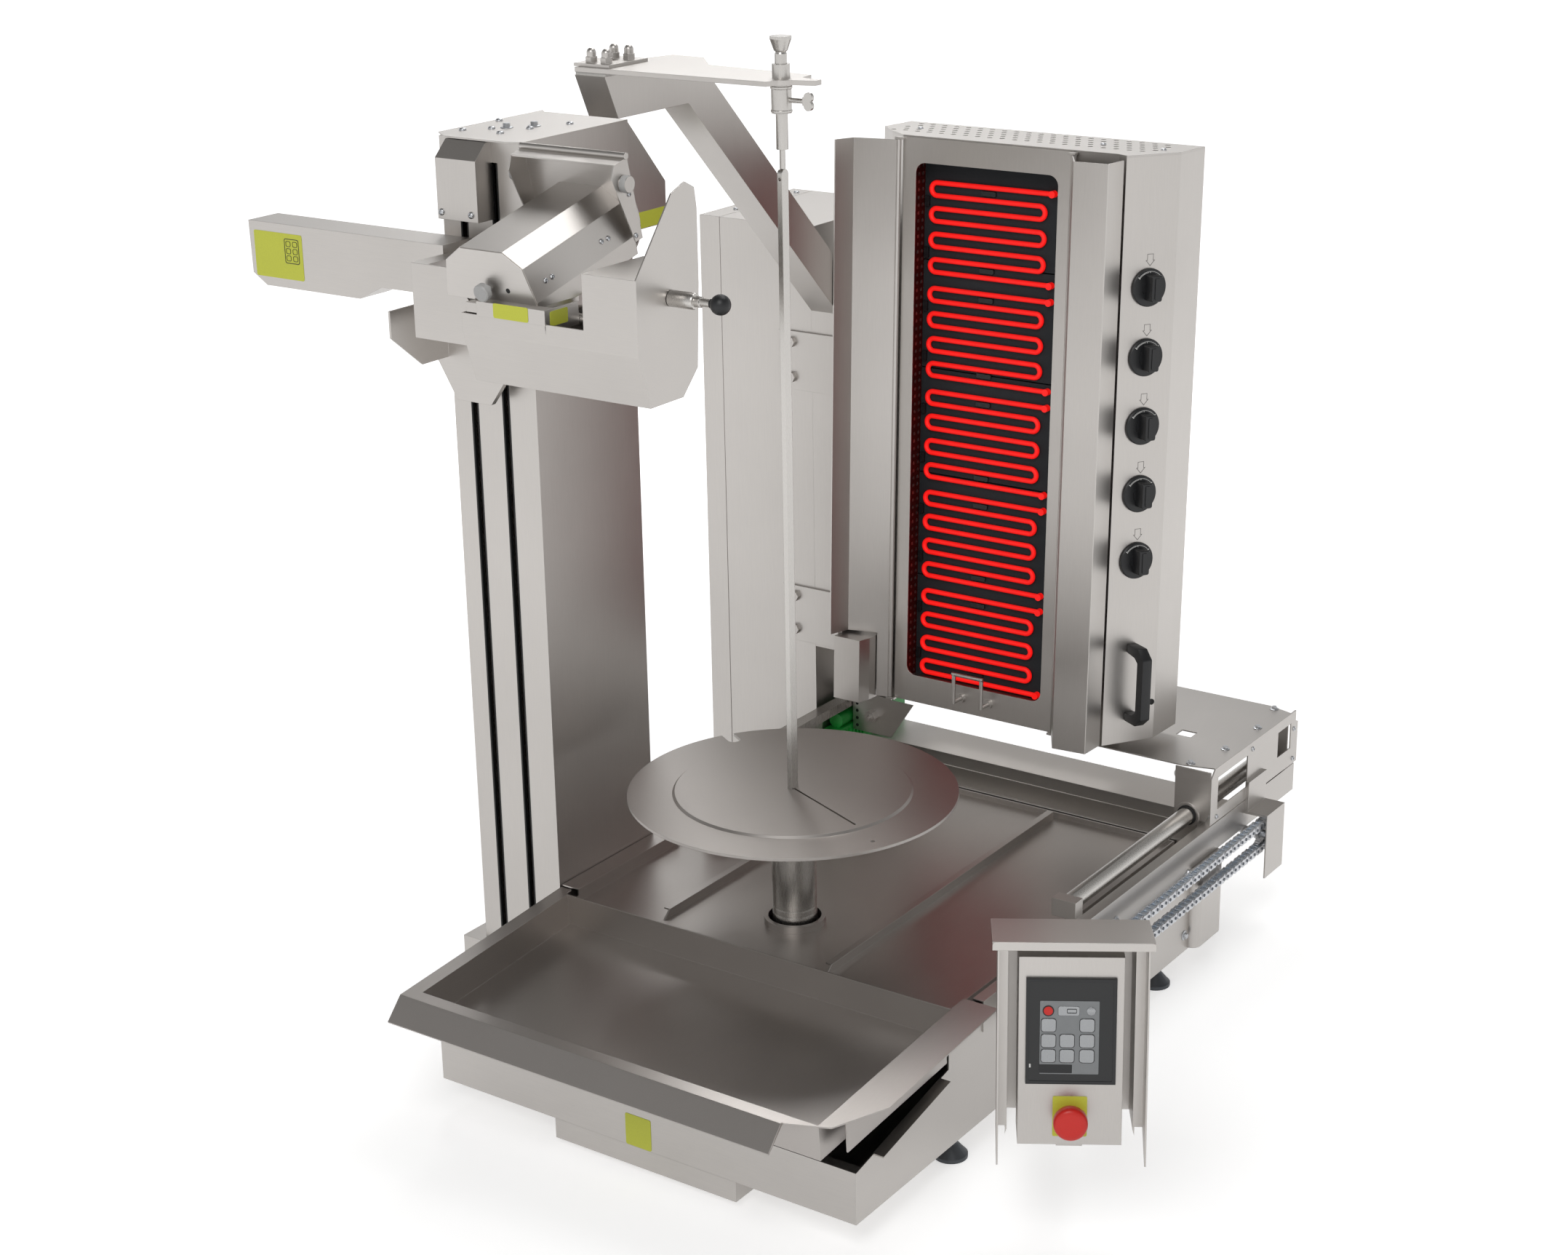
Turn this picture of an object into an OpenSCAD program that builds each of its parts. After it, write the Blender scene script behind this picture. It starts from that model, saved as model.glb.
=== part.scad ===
/* [Base] */
// Width of the base
base_w = 650; // [620:5:720]
// Depth of the base
base_d = 960; // [940:5:1000]
// Height of the side walls behind the front slope
wall_h = 165; // [160:1:168]
// Height of the front wall
front_h = 70; // [50:5:85]
// Depth of the slope at the front of the side walls
slope_d = 210; // [190:5:230]
// Height of the side walls where the slope ends
slope_h = 111; // [95:1:118]
// Width of the lip along the slope
lip_w = 14; // [8:1:20]
// Thickness of the folded steel sheet
sheet = 2; // [1.5:0.5:2.5]
// Height of the levelling feet
foot_h = 40; // [32:1:55]
// Radius of a foot's pad
foot_r = 22; // [16:1:28]
// Distance of a foot's centre from the base's walls
foot_inset = 24; // [24:1:50]
// Width of the shallow pan under the base
pan_w = 284; // [200:2:340]
// Depth of the shallow pan
pan_d = 460; // [300:10:600]
// Height of the shallow pan
pan_h = 28; // [15:1:30]

/* [Spit drive] */
// Distance from the base's right wall to the spit
spit_from_right = 350; // [330:1:370]
// Distance from the base's front wall to the spit
spit_from_front = 386; // [370:1:400]
// Width of the gear motor's block
gear_w = 110; // [90:2:130]
// Radius of the spindle's tube
spindle_r = 30; // [24:1:34]
// Radius of the shaft that comes out of the gear motor
shaft_r = 20; // [12:1:22]
// Radius of the turntable
disc_r = 220; // [200:2:225]
// Thickness of the turntable's steel
disc_t = 4; // [3:0.5:6]
// Radius of the raised middle of the turntable
raised_r = 160; // [120:2:180]
// Height of the turntable's top over the base's bottom edge
disc_top = 345; // [330:1:350]
// Width of the spit's blade
blade_w = 7; // [5:0.5:9]
// Depth of the spit's blade
blade_d = 14; // [10:0.5:18]
// Height of the spit's shoulder over the base's bottom edge
spit_top = 1165; // [1150:1:1170]
// Radius of the spit's top journal
tip_r = 3.5; // [3:0.5:3.5]

/* [Top bearing] */
// Height of the arm plate's underside over the base's bottom edge
plate_z = 1269; // [1265:1:1275]
// Thickness of the arm plate
plate_t = 6; // [4:0.5:8]
// Radius of the plunger
plunger_r = 7.4; // [7:0.1:8]
// Room round the spit's top pin in the plunger's hole, so that the plunger drops over it
pin_room = 1.6; // [1.6:0.1:1.8]
// Radius of the bearing block
bearing_r = 12.5; // [11:0.5:15]
// Length that the plunger can be pulled up
plunger_travel = 25; // [15:1:25]
// Side of the arm's square tube
tube_h = 55; // [50:1:60]
// Width of the arm's square tube
tube_w = 48; // [44:1:50]
// Thickness of the spacer between tube and plate
spacer_t = 4; // [3:0.5:5]

/* [Trays] */
// Height of the rear tray's floor over the base's bottom edge
floor_z = 150; // [146:1:152]
// Height of the ribs on the rear tray's floor
rib_h = 12; // [8:1:15]
// Fall of the front tray, in degrees
tray_fall = 3.9; // [3:0.1:4.5]
// Depth of the front tray, back to front
tray_l = 300; // [290:2:310]
// Height of the front tray's walls
tray_deep = 45; // [38:1:48]

/* [Columns] */
// Width of the lift column
lift_w = 141; // [135:1:150]
// Depth of the lift column
lift_d = 212; // [200:1:230]
// Height of the lift column's top over the base's bottom edge
lift_top = 1189; // [1180:1:1195]
// Width of a slot in the lift column
slot_w = 13; // [12:0.5:14]
// Width of the rear column
rear_w = 199; // [190:1:207]
// Depth of the rear column
rear_d = 247; // [220:1:260]
// Height of the rear column's top over the base's bottom edge
rear_top = 984; // [950:1:1000]
// Height of the columns' common foot
plinth_h = 50; // [30:1:52]

/* [Heater] */
// Width of the heater
heater_w = 477; // [465:1:480]
// Depth of the heater's side wall
heater_side = 73; // [60:1:80]
// Depth from the heater's back to its front frame
heater_d = 140; // [130:1:145]
// Height of the heater
heater_h = 845; // [830:1:850]
// Lean of the heater away from the spit, in degrees
lean = 2; // [0:0.5:3]
// Width of the frame on each side of the window
stile_w = 21; // [18:1:26]
// Height of the frame under the window
sill_h = 42; // [42:1:50]
// Height of the frame over the window
head_h = 37; // [30:1:50]
// Number of heating zones
zones = 5; // [4:1:5]
// Bars in one zone
bars = 8; // [6:2:8]
// Radius of an element's tube
element_r = 3.6; // [3:0.1:4.2]
// Distance between two dials
dial_gap = 97.4; // [80:0.2:100]
// Radius of a dial
dial_r = 21; // [16:0.5:24]

/* [Carriage] */
// Radius of the guide rod
rod_r = 12.5; // [10:0.5:12.5]
// Height of the carriage's deck over the base's bottom edge
deck_z = 255; // [250:1:256]
// Length of the carriage, front to back
deck_l = 280; // [270:2:284]
// Pitch of the roller chain
chain_p = 12.7; // [12:0.1:12.7]
// Teeth of a sprocket
teeth = 9; // [9:2:11]
// Radius of the chain's rollers
roller_r = 4.25; // [3.5:0.05:4.25]
// Width between the chain's inner plates
roller_w = 7.8; // [6:0.1:8]
// Half the height of a chain plate
link_r = 5.8; // [5:0.1:6]
// Thickness of a chain plate
link_t = 1.4; // [1:0.1:1.5]
// Radius of a chain pin
pin_r = 2.2; // [1.8:0.1:2.3]

/* [Knife] */
// Width of the knife's guard
guard_w = 268; // [250:2:280]
// Depth of the knife's guard
guard_d = 120; // [110:2:125]
// Tilt of the knife motor, in degrees
tilt = 14.2; // [10:0.2:18]
// Length of the knife motor
motor_l = 197; // [180:1:205]
// Half the width of the knife motor
motor_r = 71; // [60:1:72]
// Radius of the round knife
knife_r = 75; // [60:1:75]
// Length of the beam that carries the keys
beam_l = 344; // [300:2:380]
// Radius of the cross rods
cross_r = 8; // [6:0.5:8]

/* [Control panel] */
// Turn of the control panel towards the right, in degrees
panel_turn = 31.5; // [20:0.5:40]
// Lean of the control panel, in degrees
panel_lean = 5.5; // [0:0.5:8]
// Width of the control panel's box
panel_w = 121; // [112:1:130]
// Height of the control panel's box
panel_h = 232; // [220:1:250]
// Depth of the control panel's box
panel_d = 60; // [50:1:70]
// Width of the touch panel
screen_w = 104; // [96:1:108]
// Height of the touch panel
screen_h = 130; // [120:1:136]
// Radius of the stop button
stop_r = 20; // [15:1:22]

/* [Fits] */
// Radial clearance of shafts and rods that run in a bore
run = 0.05; // [0.02:0.01:0.1]
// Gap between pieces that pass each other
gap = 0.3; // [0.2:0.1:0.5]

/* [Hidden] */

$fn = 48;

spit_x = -spit_from_right;
spit_y = spit_from_front;
left = -base_w;
rod_x0 = -35;
rod_z = 181;
rod_y0 = 575;
rod_y1 = 1200;
beam_y1 = 1212;
tray_y = 250;
tray_rim = 170;
disc_under = disc_top - disc_t;
plunger_seat = spit_top + 24;
bearing_z = plate_z - 36;
tube_x1 = left + 58;
tube_x0 = tube_x1 - tube_w;
tube_top = plate_z - spacer_t;
lift_x1 = left - 15;
lift_x0 = lift_x1 - lift_w;
lift_y = 272;
rear_x1 = tube_x0;
rear_x0 = rear_x1 - rear_w;
rear_y = 870;
notch = 12;
slot_in = 29;
slot_out = 45;
heater_at = [left + 62 + heater_w, 1033, 270];
deck_y = 930;
deck_t = 2;
pivot_y = -75;
pivot_z = -8;
bed_y = -100;
element_y = bed_y - element_r - 0.4;
frame_x0 = 75 - heater_w;
frame_x1 = -130;
hinge_x0 = frame_x0 - 6;
hinge_x1 = frame_x1 + 4;
window_x = (frame_x0 + frame_x1) / 2;
window_w = frame_x1 - frame_x0 - 2 * stile_w;
window_h = heater_h - sill_h - head_h;
bed_w = window_w + 16;
zone_h = (window_h - 4) / zones;
bar_gap = (zone_h - 5.2) / bars;
bar_x0 = window_x - window_w / 2 + 5;
bar_x1 = window_x + window_w / 2 - 39;
pivots = [heater_at[0] - 70, heater_at[0] - heater_w + 22];
sprocket_y = 1055;
sprocket_z = 118;
rail_x1 = left + 39;
rail_x0 = rail_x1 - 20;
rail_z = 244;
rail_t = 3;
chain_x = 25;
chain_n = 38.5;
links = 2 * chain_n + teeth;
sprocket_r = chain_p / (2 * sin(180 / teeth));
front_sprocket_y = sprocket_y - chain_n * chain_p;
guard_x1 = spit_x + 6;
guard_x0 = guard_x1 - guard_w;
guard_y = 80;
motor_at = [guard_x0 + 36, guard_y + 15, 1036];
beam_x1 = left - 85;
beam_y = 190;
panel_at = [205, 142, 255];

cross_y = [150, 184];
cross_z = 1008;

left_reach = beam_x1 - beam_l;
right_reach = panel_at[0] + 86 * cos(panel_turn)
    + (40 * cos(panel_lean) + 150 * sin(panel_lean)) * sin(panel_turn);
front_reach = tray_y - (tray_l + 42) * cos(tray_fall) + 26 * sin(tray_fall);
back_reach = deck_y + deck_l + 9;
mid_x = (left_reach + right_reach) / 2;
mid_y = (front_reach + back_reach) / 2;

function up(h) = foot_h + h;

// Puts a piece that is drawn from the base's front right corner on the bench, round the middle
module on_bench() {
    translate([-mid_x, -mid_y, 0]) children();
}

module block(a, b) {
    translate(a) cube(b - a);
}

module prism_x(points, x0, x1) {
    translate([x0, 0, 0]) rotate([90, 0, 90]) linear_extrude(x1 - x0) polygon(points);
}

module prism_y(points, y0, y1) {
    translate([0, y1, 0]) rotate([90, 0, 0]) linear_extrude(y1 - y0) polygon(points);
}

module prism_z(points, z0, z1) {
    translate([0, 0, z0]) linear_extrude(z1 - z0) polygon(points);
}

module bar_x(r, x0, x1, y, z) {
    translate([x0, y, z]) rotate([0, 90, 0]) cylinder(r = r, h = x1 - x0);
}

module bar_y(r, y0, y1, x, z) {
    translate([x, y1, z]) rotate([90, 0, 0]) cylinder(r = r, h = y1 - y0);
}

module bar_z(r, z0, z1, x, y) {
    translate([x, y, z0]) cylinder(r = r, h = z1 - z0);
}

// A sheet that follows a line seen from above
module folded(path, t, z0, z1) {
    for (i = [0 : len(path) - 2]) {
        a = path[i];
        b = path[i + 1];
        n = [a[1] - b[1], b[0] - a[0]] * t / (2 * norm(b - a));
        prism_z([a - n, b - n, b + n, a + n], z0, z1);
    }
    for (i = [1 : len(path) - 2])
        bar_z(t / 2, z0, z1, path[i][0], path[i][1]);
}

module base_shell() {
    side = [[0, up(0)], [base_d, up(0)], [base_d, up(wall_h)], [slope_d, up(wall_h)],
        [slope_d, up(slope_h)], [0, up(front_h)]];
    slope = atan((slope_h - front_h) / slope_d);
    color("silver") on_bench() {
        difference() {
            prism_x(side, left, 0);
            block([left + sheet, sheet, up(sheet)], [-sheet, base_d - sheet, up(wall_h) + 1]);
            block([left - 1, rear_y - 4, up(sheet)], [left + notch, base_d + 1, up(wall_h) + 1]);
            block([left - 1, base_d - 3, up(125)], [-sheet, base_d + 1, up(wall_h) + 1]);
        }
        block([left, rear_y - 6, up(sheet)], [left + notch, rear_y - 4, up(floor_z - 6)]);
        block([left + notch, rear_y - 6, up(sheet)], [left + notch + sheet, base_d, up(floor_z - 6)]);
        block([left + sheet, tray_y + 40, up(floor_z - 4)], [left + 36, rear_y - 20, up(floor_z - sheet)]);
        block([-42, tray_y + 40, up(floor_z - 4)], [-sheet, rear_y - 20, up(floor_z - sheet)]);
        for (x = [left - lip_w, -sheet])
            translate([x, 0, up(front_h)]) rotate([slope, 0, 0])
                translate([0, 40, -sheet]) cube([lip_w + sheet, slope_d - 55, sheet]);
        block([left + sheet, sheet, up(front_h) - sheet], [-sheet, 16, up(front_h)]);
    }
}

module lower_pan() {
    x1 = -176;
    x0 = x1 - pan_w;
    color("silver") on_bench() difference() {
        block([x0, 0, up(-pan_h)], [x1, pan_d, up(0)]);
        block([x0 + sheet, sheet, up(sheet - pan_h)], [x1 - sheet, pan_d - sheet, up(0) + 1]);
    }
}

module foot(x, y, top) {
    translate([x, y, 0]) {
        rotate_extrude() polygon([[0, 0], [foot_r, 0], [foot_r, 5], [foot_r - 3, 8], [9, 20],
            [9, 24], [5, 24], [5, top], [0, top]]);
    }
}

module levelling_feet() {
    color("dimgray") on_bench() {
        for (x = [left + foot_inset, -foot_inset])
            for (y = [255, base_d - 143])
                foot(x, y, foot_h);
        for (y = [290, 1070])
            foot(rear_x0 + 40, y, foot_h);
    }
}

module side_beam() {
    inner = -12;
    color("silver") on_bench() {
        block([0, tray_y + 40, up(127)], [sheet, beam_y1, up(170)]);
        block([inner, tray_y + 40, up(168)], [sheet, beam_y1, up(170)]);
        block([inner - sheet, tray_y + 40, up(148)], [inner, beam_y1, up(170)]);
        block([-30, tray_y + 40, up(148)], [inner, beam_y1, up(floor_z)]);
        for (y = [rod_y0 - 20, rod_y1])
            prism_y([[-30, up(floor_z)], [-14, up(floor_z)], [-14, up(rod_z + 13)],
                [-50, up(rod_z + 13)], [-50, up(rod_z - rod_r)], [-30, up(rod_z - rod_r)]],
                y, y == rod_y1 ? beam_y1 : rod_y0);
    }
}

module rear_beams() {
    color("silver") on_bench() {
        difference() {
            block([left + notch + 4, 885, up(128)], [-30, 950, up(158)]);
            block([left + notch + 3, 885 + sheet, up(128 + sheet)], [-29, 950 - sheet, up(159)]);
        }
        difference() {
            block([left + 42, base_d + 10, up(128)], [-30, base_d + 95, up(167)]);
            block([left + 41, base_d + 10 + sheet, up(127)], [-29, base_d + 95 - sheet, up(165)]);
            block([rod_x0 - 25, base_d + 9, up(158)], [-29, base_d + 96, up(168)]);
        }
    }
}

module corner_cover() {
    y0 = base_d - 76;
    y1 = base_d - 19;
    r = 14;
    color("silver") on_bench() difference() {
        union() {
            block([0, y0, up(2)], [r, y1, up(126.7)]);
            bar_z(r, up(2), up(126.7), 0, y0);
            bar_z(r, up(2), up(126.7), 0, y1);
        }
        block([-r - 1, y0 - r - 1, up(0)], [0, y1 + r + 1, up(130)]);
        block([-1, y0, up(0)], [r - sheet, y1, up(126.7 - sheet)]);
    }
}

module rear_tray() {
    x0 = left + 13;
    x1 = -31;
    y0 = tray_y + 8;
    y1 = 880;
    color("silver") on_bench() {
        difference() {
            block([x0, y0, up(floor_z - sheet)], [x1, y1, up(floor_z)]);
            bar_z(spindle_r + 6, up(140), up(160), spit_x, spit_y);
        }
        for (x = [x0, x1 - sheet])
            block([x, y0, up(floor_z) + run], [x + sheet, y1, up(158)]);
        for (y = [y0, y1 - sheet])
            block([x0 + sheet + run, y, up(floor_z) + run], [x1 - sheet - run, y + sheet, up(158)]);
        difference() {
            bar_z(spindle_r + 12, up(floor_z) + run, up(floor_z + 10), spit_x, spit_y);
            bar_z(spindle_r + 6, up(floor_z) - 1, up(floor_z + 11), spit_x, spit_y);
        }
        prism_y([[x0, up(158) + run], [x0 + sheet, up(158) + run], [x0 + sheet, up(168)],
            [left - 14, up(168)], [left - 14, up(166)], [x0, up(166)]], y0 + 18, y0 + 247);
        for (rib = [[-500, 290, 655], [-224, 272, 870]])
            translate([rib[0], 0, 0]) {
                prism_x([[rib[1], up(floor_z) + run], [rib[2], up(floor_z) + run],
                    [rib[2], up(floor_z + rib_h)], [rib[1] + 14, up(floor_z + rib_h)]], -1, 1);
                prism_x([[rib[1] + 14, up(floor_z + rib_h - sheet)], [rib[2], up(floor_z + rib_h - sheet)],
                    [rib[2], up(floor_z + rib_h)], [rib[1] + 14, up(floor_z + rib_h)]], -9, 1);
            }
    }
}

module front_tray() {
    x0 = left + 16;
    x1 = -22;
    rim = [[left - 6, 14], [left - 6, -tray_l - 12], [-60, -tray_l - 12], [-6, -tray_l + 8],
        [30, -tray_l + 78], [28, 30], [x1, 30], [x1, 2], [x0 - 4, 2], [x0 - 4, 14]];
    color("silver") on_bench() translate([0, tray_y, up(tray_rim)]) rotate([tray_fall, 0, 0]) {
        difference() {
            prism_z(rim, -sheet, 0);
            block([x0, -tray_l + 4, -sheet - 1], [x1, 0, 1]);
        }
        difference() {
            block([x0 - sheet, -tray_l + 4 - sheet, -tray_deep - sheet], [x1 + sheet, sheet, -1]);
            block([x0, -tray_l + 4, -tray_deep], [x1, 0, 1]);
        }
        prism_x([[-tray_l - 10, -sheet], [-tray_l - 10, 0], [-tray_l - 14, 0], [-tray_l - 42, -26],
            [-tray_l - 41, -28]], left - 6, -62);
        prism_z([[-2, -tray_l + 30], [0, -tray_l + 30], [0, -48], [-2, -48]], -tray_deep, -1);
    }
}

module gear_motor() {
    w = gear_w / 2;
    color("slategray") on_bench() difference() {
        union() {
            block([spit_x - w, spit_y - w, up(sheet)], [spit_x + w, spit_y + w, up(92)]);
            bar_z(shaft_r + 12, up(90), up(105), spit_x, spit_y);
            bar_y(40, spit_y + w, spit_y + w + 190, spit_x, up(48));
            bar_y(30, spit_y + w + 190, spit_y + w + 205, spit_x, up(48));
        }
        bar_z(shaft_r + run, up(60), up(106), spit_x, spit_y);
    }
}

module spindle() {
    r = spindle_r;
    color("silver") on_bench() translate([spit_x, spit_y, 0]) difference() {
        rotate_extrude() polygon([[0, up(62)], [shaft_r, up(62)], [shaft_r, up(154)], [r, up(154)],
            [r, up(166)], [r - 1.5, up(166)], [r - 1.5, up(169)], [r, up(169)], [r, up(175)],
            [r - 1.5, up(175)], [r - 1.5, up(178)], [r, up(178)], [r, up(disc_under - 8)],
            [2 * r, up(disc_under - 8)], [2 * r, up(disc_under)], [0, up(disc_under)]]);
        block([-blade_w / 2 - 0.1, -blade_d / 2 - 0.1, up(disc_under - 30)],
            [blade_w / 2 + 0.1, blade_d / 2 + 0.1, up(disc_under + 1)]);
    }
}

module turntable() {
    step = 3;
    color("darkgray") on_bench() translate([spit_x, spit_y, 0]) difference() {
        rotate_extrude($fn = 96) polygon([[0, up(disc_under)], [raised_r - step, up(disc_under)],
            [raised_r, up(disc_under - step)], [disc_r, up(disc_under - step)],
            [disc_r, up(disc_top - step)], [raised_r, up(disc_top - step)],
            [raised_r - step, up(disc_top)], [0, up(disc_top)]]);
        block([-blade_w / 2 - 0.1, -blade_d / 2 - 0.1, up(disc_under - 1)],
            [blade_w / 2 + 0.1, blade_d / 2 + 0.1, up(disc_top + 1)]);
        rotate([0, 0, -22.7]) block([0, -1.5, up(disc_under - 5)], [raised_r - 12, 1.5, up(disc_top + 1)]);
        rotate([0, 0, 149]) translate([disc_r - 22, 0, up(disc_under - 5)]) {
            cylinder(r = 9, h = disc_t + 10);
            translate([0, -9, 0]) cube([40, 18, disc_t + 10]);
        }
        rotate([0, 0, -24.8]) translate([198, 0, up(disc_under - 5)]) cylinder(r = 3, h = disc_t + 10);
    }
}

module spit() {
    z0 = disc_under - 29;
    color("gainsboro") on_bench() translate([spit_x, spit_y, 0]) difference() {
        union() {
            block([-blade_w / 2, -blade_d / 2, up(z0)], [blade_w / 2, blade_d / 2, up(spit_top - 7)]);
            translate([0, 0, up(spit_top - 7)]) rotate([0, 90, 0])
                cylinder(r = blade_d / 2, h = blade_w, center = true);
        }
        bar_y(2, -20, 20, 0, up(spit_top - 12));
    }
    color("gainsboro") on_bench() bar_z(tip_r, up(spit_top) + run, up(plunger_seat + 12), spit_x, spit_y);
}

module column_foot() {
    color("silver") on_bench() difference() {
        block([rear_x0 - 1, lift_y - 10, up(0)], [left, rear_y + rear_d + 3, up(plinth_h)]);
        block([rear_x0 + 1, lift_y - 8, up(sheet)],
            [left - sheet, rear_y + rear_d + 1, up(plinth_h - sheet)]);
    }
}

module lift_column() {
    nose = 10;
    t = sheet;
    xa = lift_x0 + slot_in;
    xb = lift_x1 - slot_out - slot_w;
    color("silver") on_bench() {
        difference() {
            block([lift_x0, lift_y, up(plinth_h)], [lift_x1, lift_y + lift_d, up(lift_top - t)]);
            block([lift_x0 + t, lift_y + t, up(plinth_h) - 1],
                [lift_x1 - t, lift_y + lift_d - t, up(lift_top)]);
            for (x = [xa, xb])
                block([x, lift_y - 1, up(plinth_h + 12)], [x + slot_w, lift_y + t + 1, up(lift_top - 30)]);
        }
        prism_z([[lift_x0 - 12, lift_y + 13], [lift_x0 + 18, lift_y - nose],
            [lift_x1 - 22, lift_y - nose], [lift_x1, lift_y], [lift_x1, lift_y + lift_d],
            [lift_x0, lift_y + lift_d], [lift_x0 - 12, lift_y + lift_d + 11]],
            up(lift_top - t), up(lift_top));
        difference() {
            prism_x([[lift_y + lift_d, up(1039)], [lift_y + lift_d + 62, up(1039)],
                [lift_y + lift_d + 81, up(1060)], [lift_y + lift_d + 81, up(1096)],
                [lift_y + lift_d + 2, up(lift_top - t)], [lift_y + lift_d, up(lift_top - t)]],
                lift_x0, lift_x1 - 3);
            prism_x([[lift_y + lift_d - 1, up(1038)], [lift_y + lift_d + 59, up(1038)],
                [lift_y + lift_d + 79, up(1061)], [lift_y + lift_d + 79, up(1095)],
                [lift_y + lift_d + 2, up(lift_top - 5)], [lift_y + lift_d - 1, up(lift_top - 5)]],
                lift_x0 + t, lift_x1 - 3 - t);
        }
    }
}

module slot_seals() {
    w = 2.5;
    xa = lift_x0 + slot_in;
    xb = lift_x1 - slot_out - slot_w;
    color("black") on_bench()
        for (x = [xa, xb, xa + slot_w - w, xb + slot_w - w])
            block([x, lift_y, up(plinth_h + 12)], [x + w, lift_y + 5, up(lift_top - 30)]);
}

module lift_cover() {
    x0 = lift_x0 + 20;
    x1 = lift_x0 + 87;
    outer = [[lift_y, up(1087)], [lift_y - 32, up(1087)], [lift_y - 32, up(1165)],
        [lift_y - 10, up(1186)], [lift_y, up(1186)]];
    inner = [[lift_y + 1, up(1089)], [lift_y - 30, up(1089)], [lift_y - 30, up(1164)],
        [lift_y - 9, up(1184)], [lift_y + 1, up(1184)]];
    color("silver") on_bench() difference() {
        prism_x(outer, x0, x1);
        prism_x(inner, x0 + sheet, x1 - sheet);
    }
}

module lift_rails() {
    color("gainsboro") on_bench()
        for (x = [lift_x0 + 32, lift_x1 - 32])
            bar_z(8, up(plinth_h), up(lift_top - sheet), x, lift_y + 90);
}

module rear_column() {
    t = sheet;
    color("silver") on_bench() difference() {
        block([rear_x0, rear_y, up(plinth_h)], [rear_x1, rear_y + rear_d, up(rear_top)]);
        block([rear_x0 + t, rear_y + t, up(plinth_h) - 1],
            [rear_x1 - t, rear_y + rear_d - t, up(rear_top - t)]);
        block([rear_x0 + 36, rear_y - 1, up(plinth_h) - 1], [rear_x0 + 37, rear_y + 0.8, up(rear_top + 1)]);
        block([rear_x0 + 36, rear_y - 1, up(rear_top - 0.8)],
            [rear_x0 + 37, rear_y + rear_d + 1, up(rear_top + 1)]);
    }
}

module spit_arm() {
    y0 = spit_y - 38;
    h = tube_h;
    bend = 544;
    low = up(340);
    k = h * (sqrt(2) - 1);
    drop = tube_top - (rear_y + h - bend);
    outer = [[y0 + 25, up(tube_top - h)], [y0, up(tube_top)], [bend, up(tube_top)],
        [rear_y + h, up(drop)], [rear_y + h, low], [rear_y, low], [rear_y, up(drop - k)],
        [bend - k, up(tube_top - h)]];
    t = 3;
    color("silver") on_bench() difference() {
        prism_x(outer, tube_x0, tube_x1);
        prism_x([[y0 + 30, up(tube_top - h + t)], [y0 + 8, up(tube_top - t)], [bend - 2, up(tube_top - t)],
            [rear_y + h - t, up(drop - 2)], [rear_y + h - t, low - 1], [rear_y + t, low - 1],
            [rear_y + t, up(drop - k + 2)], [bend - k + 2, up(tube_top - h + t)]],
            tube_x0 + t, tube_x1 - t);
        for (x = [tube_x0 + 12, tube_x1 - 12])
            for (y = [y0 + 20, y0 + 66])
                bar_z(4.2, up(tube_top - 10), up(tube_top + 1), x, y);
    }
}

module arm_brackets() {
    t = 4;
    color("silver") on_bench()
        for (z = [740, 345]) {
            block([rear_x1 - 56, rear_y - t, up(z)], [tube_x1 - 4, rear_y, up(z + 88)]);
            for (dz = [19, 72])
                translate([rear_x1 - 33, rear_y - t, up(z + dz)]) rotate([90, 0, 0])
                    cylinder(r = 8, h = 6, $fn = 6);
        }
}

module arm_bolt_holes(z0, z1, r) {
    y0 = spit_y - 38;
    for (x = [tube_x0 + 12, tube_x1 - 12])
        for (y = [y0 + 20, y0 + 66])
            bar_z(r, z0, z1, x, y);
}

module arm_spacer() {
    y0 = spit_y - 36;
    color("white") on_bench() difference() {
        block([tube_x0, y0, up(tube_top)], [tube_x1, y0 + 82, up(plate_z)]);
        arm_bolt_holes(up(tube_top) - 1, up(plate_z) + 1, 4.2);
    }
}

module arm_plate() {
    color("silver") on_bench() difference() {
        union() {
            prism_z([[left + 12, spit_y - 40], [spit_x + 4, spit_y - 38], [spit_x + 22, spit_y + 10],
                [spit_x + 17, spit_y + 40], [left + 151, spit_y + 56], [left + 104, spit_y + 109],
                [left + 51, spit_y + 113]], up(plate_z), up(plate_z + plate_t));
            bar_z(24, up(plate_z), up(plate_z + plate_t), spit_x, spit_y);
            prism_z([[spit_x, spit_y - 16], [spit_x + 52, spit_y - 4], [spit_x + 52, spit_y + 10],
                [spit_x + 30, spit_y + 12], [spit_x, spit_y + 20]], up(plate_z), up(plate_z + plate_t));
        }
        bar_z(bearing_r - 1.5, up(plate_z) - 1, up(plate_z + plate_t) + 1, spit_x, spit_y);
        arm_bolt_holes(up(plate_z) - 1, up(plate_z + plate_t) + 1, 4.2);
    }
}

module arm_clamp() {
    y0 = spit_y - 36;
    z0 = plate_z + plate_t;
    color("silver") on_bench() {
        difference() {
            block([tube_x0 - 4, y0 + 2, up(z0)], [tube_x1 + 4, y0 + 82, up(z0 + 4)]);
            block([tube_x0 + 20, y0 + 30, up(z0) - 1], [tube_x1 - 20, y0 + 52, up(z0 + 5)]);
        }
        arm_bolt_holes(up(tube_top - 12), up(z0 + 1), 4);
        for (x = [tube_x0 + 12, tube_x1 - 12])
            for (y = [spit_y - 18, spit_y + 28]) {
                translate([x, y, up(z0 + 4)]) cylinder(r = 8, h = 7, $fn = 6);
                bar_z(6, up(z0 + 10), up(z0 + 16), x, y);
                translate([x, y, up(z0 + 16)]) sphere(r = 6);
            }
    }
}

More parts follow.
